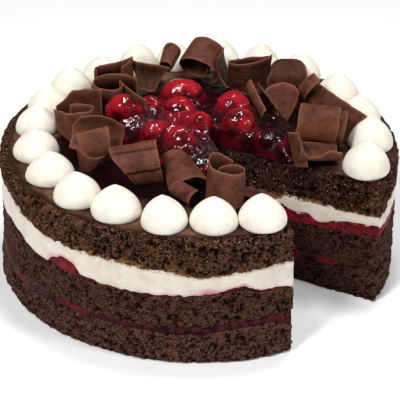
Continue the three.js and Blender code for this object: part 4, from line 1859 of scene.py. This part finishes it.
@dataclass
class Curl:
    """One curl, with the broken pieces that are stuck to it.

    Fields: pitch, how far apart its corners are; ragged, how broken its edges are. MARKS are the
    numbers that its finish reads; THINNED, the edge's share of the strip's thickness, and THIN_EDGE,
    how far in it is thinned; WAVE and STREAK, heights of its relief; PALE_EDGE, the reach of its
    pale edge; a roll gets painted shade inside when it turns more than SHUT_FROM degrees, SHUT_OVER
    wide.
    """

    node: str
    rolls: tuple
    finish: bpy.types.Material
    seed: int
    slot: str = "chocolate_curl"
    pitch: float = 0.62
    ragged: float = 0.3

    FIRST_SEED = 100
    MARKS = ("edge", "strip", "painted_inner_shade", "painted_face_shade", "warm", "bloom")
    NEAR_CHANNEL = 3.3
    FAR_CHANNEL = 61.7
    START_CHANNEL = 117.1
    END_CHANNEL = 203.9
    ROWS = (24, 150)
    COLUMNS = (14, 60)
    THINNED = 0.3
    THIN_EDGE = 2.2
    WAVE = 0.3
    STREAK = 0.04
    PALE_EDGE = 0.7
    SHUT_FROM = 170.0
    SHUT_OVER = 110.0

    def sheet(self, roll: Roll, seed: int) -> tuple:
        """One rolled strip with ragged, thinned edges.

        Args:
            roll: the strip.
            seed: seed of its unevenness.

        Returns:
            Its corners, faces and marks.
        """
        grain = Grain(seed)
        rows = int(np.clip(roll.length() / self.pitch, *self.ROWS))
        columns = int(np.clip(roll.width / self.pitch, *self.COLUMNS))
        u, v = np.meshgrid(np.linspace(0, 1, rows), np.linspace(0, 1, columns), indexing="ij")
        length, width = roll.length(), roll.width

        def nibble(along: np.ndarray, channel: float) -> np.ndarray:
            """How far an edge is broken back.

            Args:
                along: places along it, in millimetres.
                channel: picks the edge.

            Returns:
                One distance for each place.
            """
            spots = np.stack([along, np.full_like(along, channel), np.zeros_like(along)], axis=-1)
            wave = grain.layered(spots, 6.0, 4)
            notch = smooth(grain.value(spots + 9.0, 3.1), 0.35, 0.9)
            return self.ragged * (0.8 + wave + 1.1 * notch)

        near = (nibble(u * length, self.NEAR_CHANNEL) - roll.beyond(roll.near, u)) / width
        far = (nibble(u * length, self.FAR_CHANNEL) - roll.beyond(roll.far, u)) / width
        start = (nibble(v * width, self.START_CHANNEL) - roll.beyond(roll.start, v)) / length
        end = (nibble(v * width, self.END_CHANNEL) - roll.beyond(roll.end, v)) / length
        u_at = start + (1.0 - start - end) * u
        v_at = near + (1.0 - near - far) * v
        middle = roll.surface(u_at, v_at)
        du = np.gradient(middle, axis=0)
        dv = np.gradient(middle, axis=1)
        normal = np.cross(du, dv)
        normal /= np.linalg.norm(normal, axis=-1, keepdims=True) + 1e-9
        rim = np.minimum(np.minimum(v, 1.0 - v) * width, np.minimum(u, 1.0 - u) * length)
        thick = roll.thick / 2.0 * lerp(self.THINNED, 1.0, smooth(rim, 0.0, self.THIN_EDGE))
        strip = np.stack([u * length, v * width, np.zeros_like(u)], axis=-1)
        wave = self.WAVE * grain.layered(middle, 9.0, 2)
        streak = self.STREAK * grain.layered(strip * np.array([0.06, 1.0, 1.0]), 1.6, 2)
        drop = roll.drop(u_at)
        outer = middle + normal * (wave + thick + streak - drop)[..., None]
        inner = middle + normal * (wave - thick + streak * 0.5 - drop)[..., None]
        points = np.concatenate([outer.reshape(-1, 3), inner.reshape(-1, 3)])
        pale = np.exp(-rim / self.PALE_EDGE).ravel()
        # Painted shade: a tight roll's inner side, away from its edges, and the foot of each step are
        # darkened.
        facing = np.sum(normal * (roll.axis_points(u_at, v_at) - middle), axis=-1) > 0.0
        shut = float(np.clip((abs(roll.turn[1]) - self.SHUT_FROM) / self.SHUT_OVER, 0.0, 1.0))
        deep = smooth(np.minimum(v, 1.0 - v) * width, 0.5, 8.0) * shut
        marks = {
            "edge": np.concatenate([pale, pale]) * 0.8,
            "strip": np.concatenate([strip.reshape(-1, 3)] * 2),
            "painted_inner_shade": np.concatenate([
                np.maximum(deep * facing, roll.crease(u_at)).ravel(), (deep * ~facing).ravel()]),
            # Painted shade on the outer and inner faces, as each roll gives it.
            "painted_face_shade": np.concatenate([
                np.where(facing, roll.painted_face_shade[1], roll.painted_face_shade[0]).ravel(),
                np.where(facing, roll.painted_face_shade[0], roll.painted_face_shade[1]).ravel()]),
            "warm": np.concatenate([roll.patch(roll.warm, u, v).ravel()] * 2),
            "bloom": np.concatenate([roll.patch(roll.bloom, u, v).ravel()] * 2),
        }
        return points, slab_faces(rows, columns), marks

    def build(self) -> bpy.types.Object:
        """Joins the strips into one piece and puts it in place of its node.

        Returns:
            The finished piece.
        """
        points, faces, found, start = [], [], [], 0
        for number, roll in enumerate(self.rolls):
            corners, strip_faces, strip_marks = self.sheet(roll, self.seed * 10 + number)
            points.append(corners)
            faces += [[corner + start for corner in face] for face in strip_faces]
            found.append(strip_marks)
            start += len(corners)
        marks = {mark: np.concatenate([strip[mark] for strip in found]) for mark in self.MARKS}
        piece = new_object(f"shaved_{self.node}", np.concatenate(points), faces, self.finish, True, marks)
        return place(piece, self.slot, self.node)


# One row for each curl, in the order of their numbers, with all the strips that it is made of.
CURLS = (
    (Roll((-65, 6, 84.4), (88, 90), (13.5, 12), (276, -174), 19.5,
          far=((0, -2.7), (0.1, -3.9), (0.21, -4.2), (0.29, -3), (0.42, 1.4), (0.5, 1), (0.6, 1),
               (0.75, 2), (1, 4)), end=((0, -2), (1, -3))),),
    (Roll((-65.5, -6.5, 86), (97, 80), (13.5, 8), (268, 306), 19.5, tighten=4,
          start=((0, -15), (0.2, -9), (0.45, -3), (1, 0))),),
    (Roll((-55.5, -32.3, 91.1), (-8, -8), (13.5, 12.5), (290, -88), 28.5,
          near=((0, -3.5), (0.3, 0), (0.6, 0), (1, -0.5)), warm=((0.3, 0.85, 5, 0.3),),
          start=((0, 0), (0.25, 2.2), (0.5, 3.6), (0.75, 2.2), (1, -1))),),
    (Roll((-55.5, -27.3, 85), (11, 10), (10.5, 11), (16, 126), 17, taper=(1.1, 0.65),
          near=((0, 0), (0.5, 0.6), (1, -1.5)), end=((0, -3), (1, 0)), warm=((0, 0, 4, 0.45),)),
     Roll((-55, -32.2, 79), (88, 90), (9.5, 7), (-86, 112), 9, flare=0.15,
          far=((0, 5), (0.2, 4), (0.4, 1), (0.6, 0), (1, 0)),
          near=((0, 2), (0.15, 2), (0.3, 1.5), (0.45, 1), (0.7, -1.5), (0.85, -5), (1, -3)),
          start=((0, -0.5), (1, -1.5)), end=((0, 2), (1, 4)))),
    (Roll((-30.5, -47.4, 83.5), (2, 9), (12, 15), (-10, 134), 23.5, taper=(1.1, 0.8), lead=4.5,
          start=((0, 0), (0.45, -1.6), (0.75, 0.2), (0.93, 1.8), (1, 0.5)), end=((0, -1.5), (1, -0.5)),
          near=((0, 0), (0.2, 0.8), (0.4, 1.2), (0.55, -0.5), (0.72, -2.4), (1, -5)),
          steps=((0.26, 1.0), (0.66, 1.3)), bloom=((0.15, 0.8, 4, 0.7), (0.5, 0.8, 6, 0.8))),),
    (Roll((-12, -48.4, 76.5), (-71, -22), (7.5, 13), (64, -146), 23, flare=0.45,
          start=((0, -2), (1, -1)), far=((0, 1), (0.3, 1.3), (0.6, 0.3), (1, 0)),
          near=((0, 0), (0.4, 1.2), (0.8, 0.8), (1, 0))),
     Roll((-6.9, -71, 77.7), (-50, 0), (6, 3), (-32, 144), 16, flare=0.1)),
    (Roll((14.5, -78.4, 88.6), (53, 85), (10.8, 4.8), (200, 442), 15, taper=(1.75, 1), tighten=0.5,
          far=((0, -3), (0.05, -0.5), (0.1, 1.2), (0.15, 2), (0.2, 1.2), (0.26, 0.5), (0.32, 0), (1, 0))),),
    (Roll((34, -72, 54), (-50, 11), (24, 24), (-12, 24), 27),),
    (Roll((-49.4, 57, 83.5), (90, 90), (11, 11), (22.5, 280), 17, oval=0.4,
          far=((0, 0.6), (0.13, 4.2), (0.2, 5.6), (0.27, 5.8), (0.455, 1.7), (0.56, -0.2), (0.78, -1.7),
               (1, -2))),),
    (Roll((-48.5, 29.3, 85.8), (82, 90), (14, 4), (108, 340), 16.5, tighten=0.5),
     Roll((-64.6, 31.3, 85.8), (90, 90), (20, 20), (82, 16), 16.5),
     Roll((1.3, 53.8, 86.5), (90, 90), (50, 50), (-66.7, 29.7), 14,
          far=((0, 0.5), (0.5, -0.7), (1, -2.5)))),
    (Roll((-30, 40.5, 97.5), (-14, -4), (21, 17.5), (204, 48), 20.5, taper=(0.6, 1.15),
          far=((0, -4.5), (0.5, -3.5), (1, -1.5)), near=((0, 1), (1, 2)), end=((0, 0.6), (1, 0.6)),
          painted_face_shade=(0.85, 0.85)),),
    (Roll((-17.5, 64, 93), (76, 11), (4, 4.5), (150, 400), 17.5, flare=0.3),),
    (Roll((1.5, 70, 91), (64, 35), (6, 13), (90, 428), 18, flare=-0.3),),
    (Roll((31, 59, 90), (-106, -2), (20, 14.5), (68, 112), 16.5, painted_face_shade=(0.2, 0.85)),),
    (Roll((30, 60.5, 85.5), (105, 90), (13, 13), (70, -320), 17, oval=0.45,
          far=((0, 3), (0.1, 2), (0.3, 0), (0.55, 0), (0.7, -1.4), (0.9, -1.2), (1, 0.5)),
          start=((0, -4.5), (0.5, -1.5), (1, 0.5)), painted_face_shade=(0.75, 0.75)),),
    (Roll((35.3, 29.3, 82.5), (-70.6, -9.4), (4.3, 4.6), (14, 300), 29, flare=0.25,
          near=((0, 3), (0.12, 1), (0.25, 0), (1, 0)), start=((0, 1.5), (0.4, 0), (1, -1))),),
    (Roll((52.5, 67.5, 79.5), (-6, 1), (10, 11), (-46, 140), 22.5, taper=(0.8, 1),
          near=((0, -6), (0.2, -5), (0.33, -2.6), (0.5, -0.5), (0.65, 0), (1, 1)),
          far=((0, -8), (0.2, -5), (0.33, -2), (0.5, 0.8), (0.65, 1.5), (1, 1.5)),
          start=((0, 0.5), (0.3, 1.3), (1, 0)), painted_face_shade=(0.6, 0.6)),),
    (Roll((50, 14, 84.5), (82, 90), (9.5, 6), (260, -110), 18.5, flare=1.05,
          far=((0, -0.5), (0.2, 1.2), (0.5, 2.4), (0.8, 1), (1, -1.5)),
          start=((0, -6), (0.3, -3.2), (0.6, -1.4), (1, 0)),
          end=((0, -5), (0.25, -1.5), (0.6, 1.3), (1, 1))),),
    (Roll((71, 38, 83), (-63, -14), (15, 15), (24, 74), 8.5),),
    (Roll((96.5, 28, 45.5), (-59, -1), (48.5, 45), (24, 23), 48.5, painted_face_shade=(0.45, 0.45)),),
    (Roll((67, -12, 88.5), (-2, -6), (8.5, 11), (-22, 500), 21, lead=-6,
          near=((0, 0.5), (0.6, 1), (1, 2)), warm=((0.95, 0.2, 7, 0.3), (0.94, 0.7, 6, 0.25))),),
    (Roll((64.5, -29, 86), (5, -5), (8.5, 9), (118, 132), 23, flare=-0.1,
          start=((0, 7), (0.12, 3), (0.25, -0.5), (0.45, 0.5), (0.7, 5.5), (1, 3.5))),
     Roll((61, -24.5, 82.5), (98, 71), (12.5, 10.5), (-86, 48), 17.5, flare=0.2, near=((0, 1.5), (1, 2)),
          start=((0, -2), (1, 0)), end=((0, 2.5), (1, -1.5)), warm=((0.5, 0.3, 9, 0.35),),
          painted_face_shade=(0.35, 0.35))),
)


# ------------------------------------------------------------------ studio


class Lamp(Enum):
    """The studio's soft lights: place, aim, size in metres and power in watts."""

    KEY = ((-0.55, -0.75, 1.15), 0.32, 13.6)
    FILL = ((0.95, -0.55, 0.75), 0.32, 4.5)
    TOP = ((0.12, 0.22, 1.4), 0.34, 8.6)
    LEFT_SPARK = ((-0.25, -0.35, 1.2), 0.06, 0.9)
    RIGHT_SPARK = ((0.45, -0.25, 1.1), 0.06, 0.8)


@dataclass
class Studio:
    """Floor, lights, surroundings and camera.

    Fields: aim and distance of the camera, in millimetres; its elevation in degrees, lens and sensor;
    floor_size in metres; floor_white and floor_glow, how pale and how bright the floor is; sky, how
    bright the surroundings are.
    """

    aim: tuple = (0.7, 0.0, 34.5)
    distance: float = 880.0
    elevation: float = 30.0
    lens: float = 139.8
    sensor: float = 36.0
    floor_size: float = 6.0
    floor_white: float = 0.94
    floor_glow: float = 0.07
    sky: float = 0.09

    WHITE = (1.0, 1.0, 1.0, 1.0)
    FLOOR_GAP = 0.05

    def build_floor(self) -> None:
        """Lays the pale floor."""
        half = self.floor_size / 2.0 / MM
        corners = np.array([[-half, -half, 0], [half, -half, 0], [half, half, 0], [-half, half, 0]])
        shade = Shade("pale_floor")
        tone = shade.noise(400.0, 1.0)
        white = (self.floor_white,) * 3
        soft = (self.floor_white * 0.985,) * 3
        material = shade.finish(
            Base_Color=shade.mix(tone, white, soft),
            Roughness=0.9,
            Emission_Color=self.WHITE,
            Emission_Strength=self.floor_glow,
        )
        corners = corners - np.array([0.0, 0.0, self.FLOOR_GAP])
        new_object("floor", corners, [[0, 1, 2, 3]], material, False)

    def build_lights(self) -> None:
        """Hangs the soft lights, all aimed at the cake."""
        for lamp in Lamp:
            where, size, power = lamp.value
            light = bpy.data.lights.new(lamp.name.lower(), "AREA")
            light.shape = "DISK"
            light.size = size
            light.energy = power
            holder = bpy.data.objects.new(lamp.name.lower(), light)
            holder.location = where
            direction = np.array(self.aim) * MM - np.array(where)
            holder.rotation_mode = "QUATERNION"
            holder.rotation_quaternion = Vector(direction.tolist()).to_track_quat("-Z", "Y")
            bpy.context.scene.collection.objects.link(holder)

    def build_sky(self) -> None:
        """Surrounds the cake with even white light."""
        world = bpy.data.worlds.new("studio")
        world.use_nodes = True
        background = world.node_tree.nodes["Background"]
        background.inputs["Color"].default_value = self.WHITE
        background.inputs["Strength"].default_value = self.sky
        bpy.context.scene.world = world

    def build_camera(self) -> None:
        """Sets the camera at its height above the front."""
        camera = bpy.data.cameras.new("camera")
        camera.lens = self.lens
        camera.sensor_width = self.sensor
        holder = bpy.data.objects.new("camera", camera)
        tilt = math.radians(self.elevation)
        back = np.array([0.0, -math.cos(tilt), math.sin(tilt)]) * self.distance
        holder.location = (np.array(self.aim) + back) * MM
        holder.rotation_euler = (math.radians(90.0 - self.elevation), 0.0, 0.0)
        bpy.context.scene.collection.objects.link(holder)
        bpy.context.scene.camera = holder

    def build(self) -> None:
        """Makes the whole studio."""
        self.build_floor()
        self.build_lights()
        self.build_sky()
        self.build_camera()
        bpy.context.scene.view_settings.view_transform = "Standard"


def build_layers() -> None:
    """Builds the sponges, the fillings and the cream between them."""
    low_crumb = CrumbFinish("lower_sponge", body=(0.098, 0.038, 0.026), light=(0.21, 0.105, 0.078),
                            warmth=0.35).material()
    crumb = CrumbFinish("chocolate_sponge").material()
    moist = CrumbFinish("moist_sponge", warmth=0.85, glints=1.0, gloss=0.045,
                        dark=(0.0030, 0.0007, 0.0003), body=(0.052, 0.0165, 0.0088),
                        light=(0.26, 0.135, 0.096), warm=(0.165, 0.064, 0.024)).material()
    jam = JamFinish("cherry_filling").material()
    Sponge("bottom_sponge", "sponge_bottom", "sponge", low_crumb, seed=3, upper=LOWER_JAM_BOTTOM).build()
    Sponge("middle_sponge", "sponge_middle", "sponge", crumb, seed=5, lower=LOWER_JAM_TOP,
           upper=UPPER_JAM_BOTTOM, fringe=(0.1, 0.25)).build()
    Sponge("top_sponge", "sponge_top", "sponge", moist, seed=8, lower=CREAM_TOP, wet=0.8,
           fringe=(1.0, 0.0), fringe_reach=3.0, toasted=1.0, cut_bulge=2.4).build()
    Filling("lower_filling", "jam_lower", "cherry_jam", jam, seed=11, pitch=0.9, rounded=True, inset=0.45,
            bright_at=((299.0, 4.0, 0.8), (324.0, 4.0, 0.7), (381.0, 6.0, 0.28)),
            patches=((79.0, 7.0), (61.5, 2.5))).build()
    Filling("upper_filling", "jam_upper", "cherry_jam", jam, seed=12, pitch=0.9, rounded=True,
            lower=UPPER_JAM_BOTTOM, upper=CREAM_BOTTOM, spread=0.35, inset=0.3, lumps=0.5,
            bright_at=((320.0, 8.0, 1.0), (70.0, 16.0, 0.9), (61.6, 30.0, 0.9))).build()
    cream = CreamFinish("cream_filling_white", white=(0.775, 0.72, 0.635), shadow=(0.69, 0.62, 0.53),
                        bubbles=0.5).material()
    CreamLayer("filling_cream", "cream_filling", "cream", cream, seed=14, pitch=0.9, rounded=True, inset=0.35,
               stains=((319.0, 7.0, 3.5, 0.6), (363.5, 4.6, 4.4, 1.0), (372.0, 6.0, 2.4, 0.7),
                       (349.0, 14.0, 2.0, 0.4), (61.6, 40.0, 2.4, 0.5), (0.0, 400.0, 1.5, 0.3),
                       (54.0, 12.0, 14.0, 0.14))).build()


def build_topping() -> None:
    """Builds the glaze and all that lies on it."""
    Glaze(GlazeFinish("chocolate_glaze").material()).build()
    Dollops(CreamFinish("piped_cream").material()).build()
    dark_gel = GelFinish("dark_gel").material()
    Cherries(CherryFinish("cherry_skin").material(), dark_gel).build()
    Gel(dark_gel).build()
    shaved = CurlFinish("shaved_chocolate").material()
    for number, rolls in enumerate(CURLS, start=1):
        Curl(f"curl_{number:02d}", rolls, shaved, Curl.FIRST_SEED + number).build()


def main() -> None:
    """Builds the studio and the cake."""
    logging.basicConfig(level=logging.INFO, format="%(message)s")
    Studio().build()
    build_layers()
    build_topping()


if __name__ == "__main__":
    main()
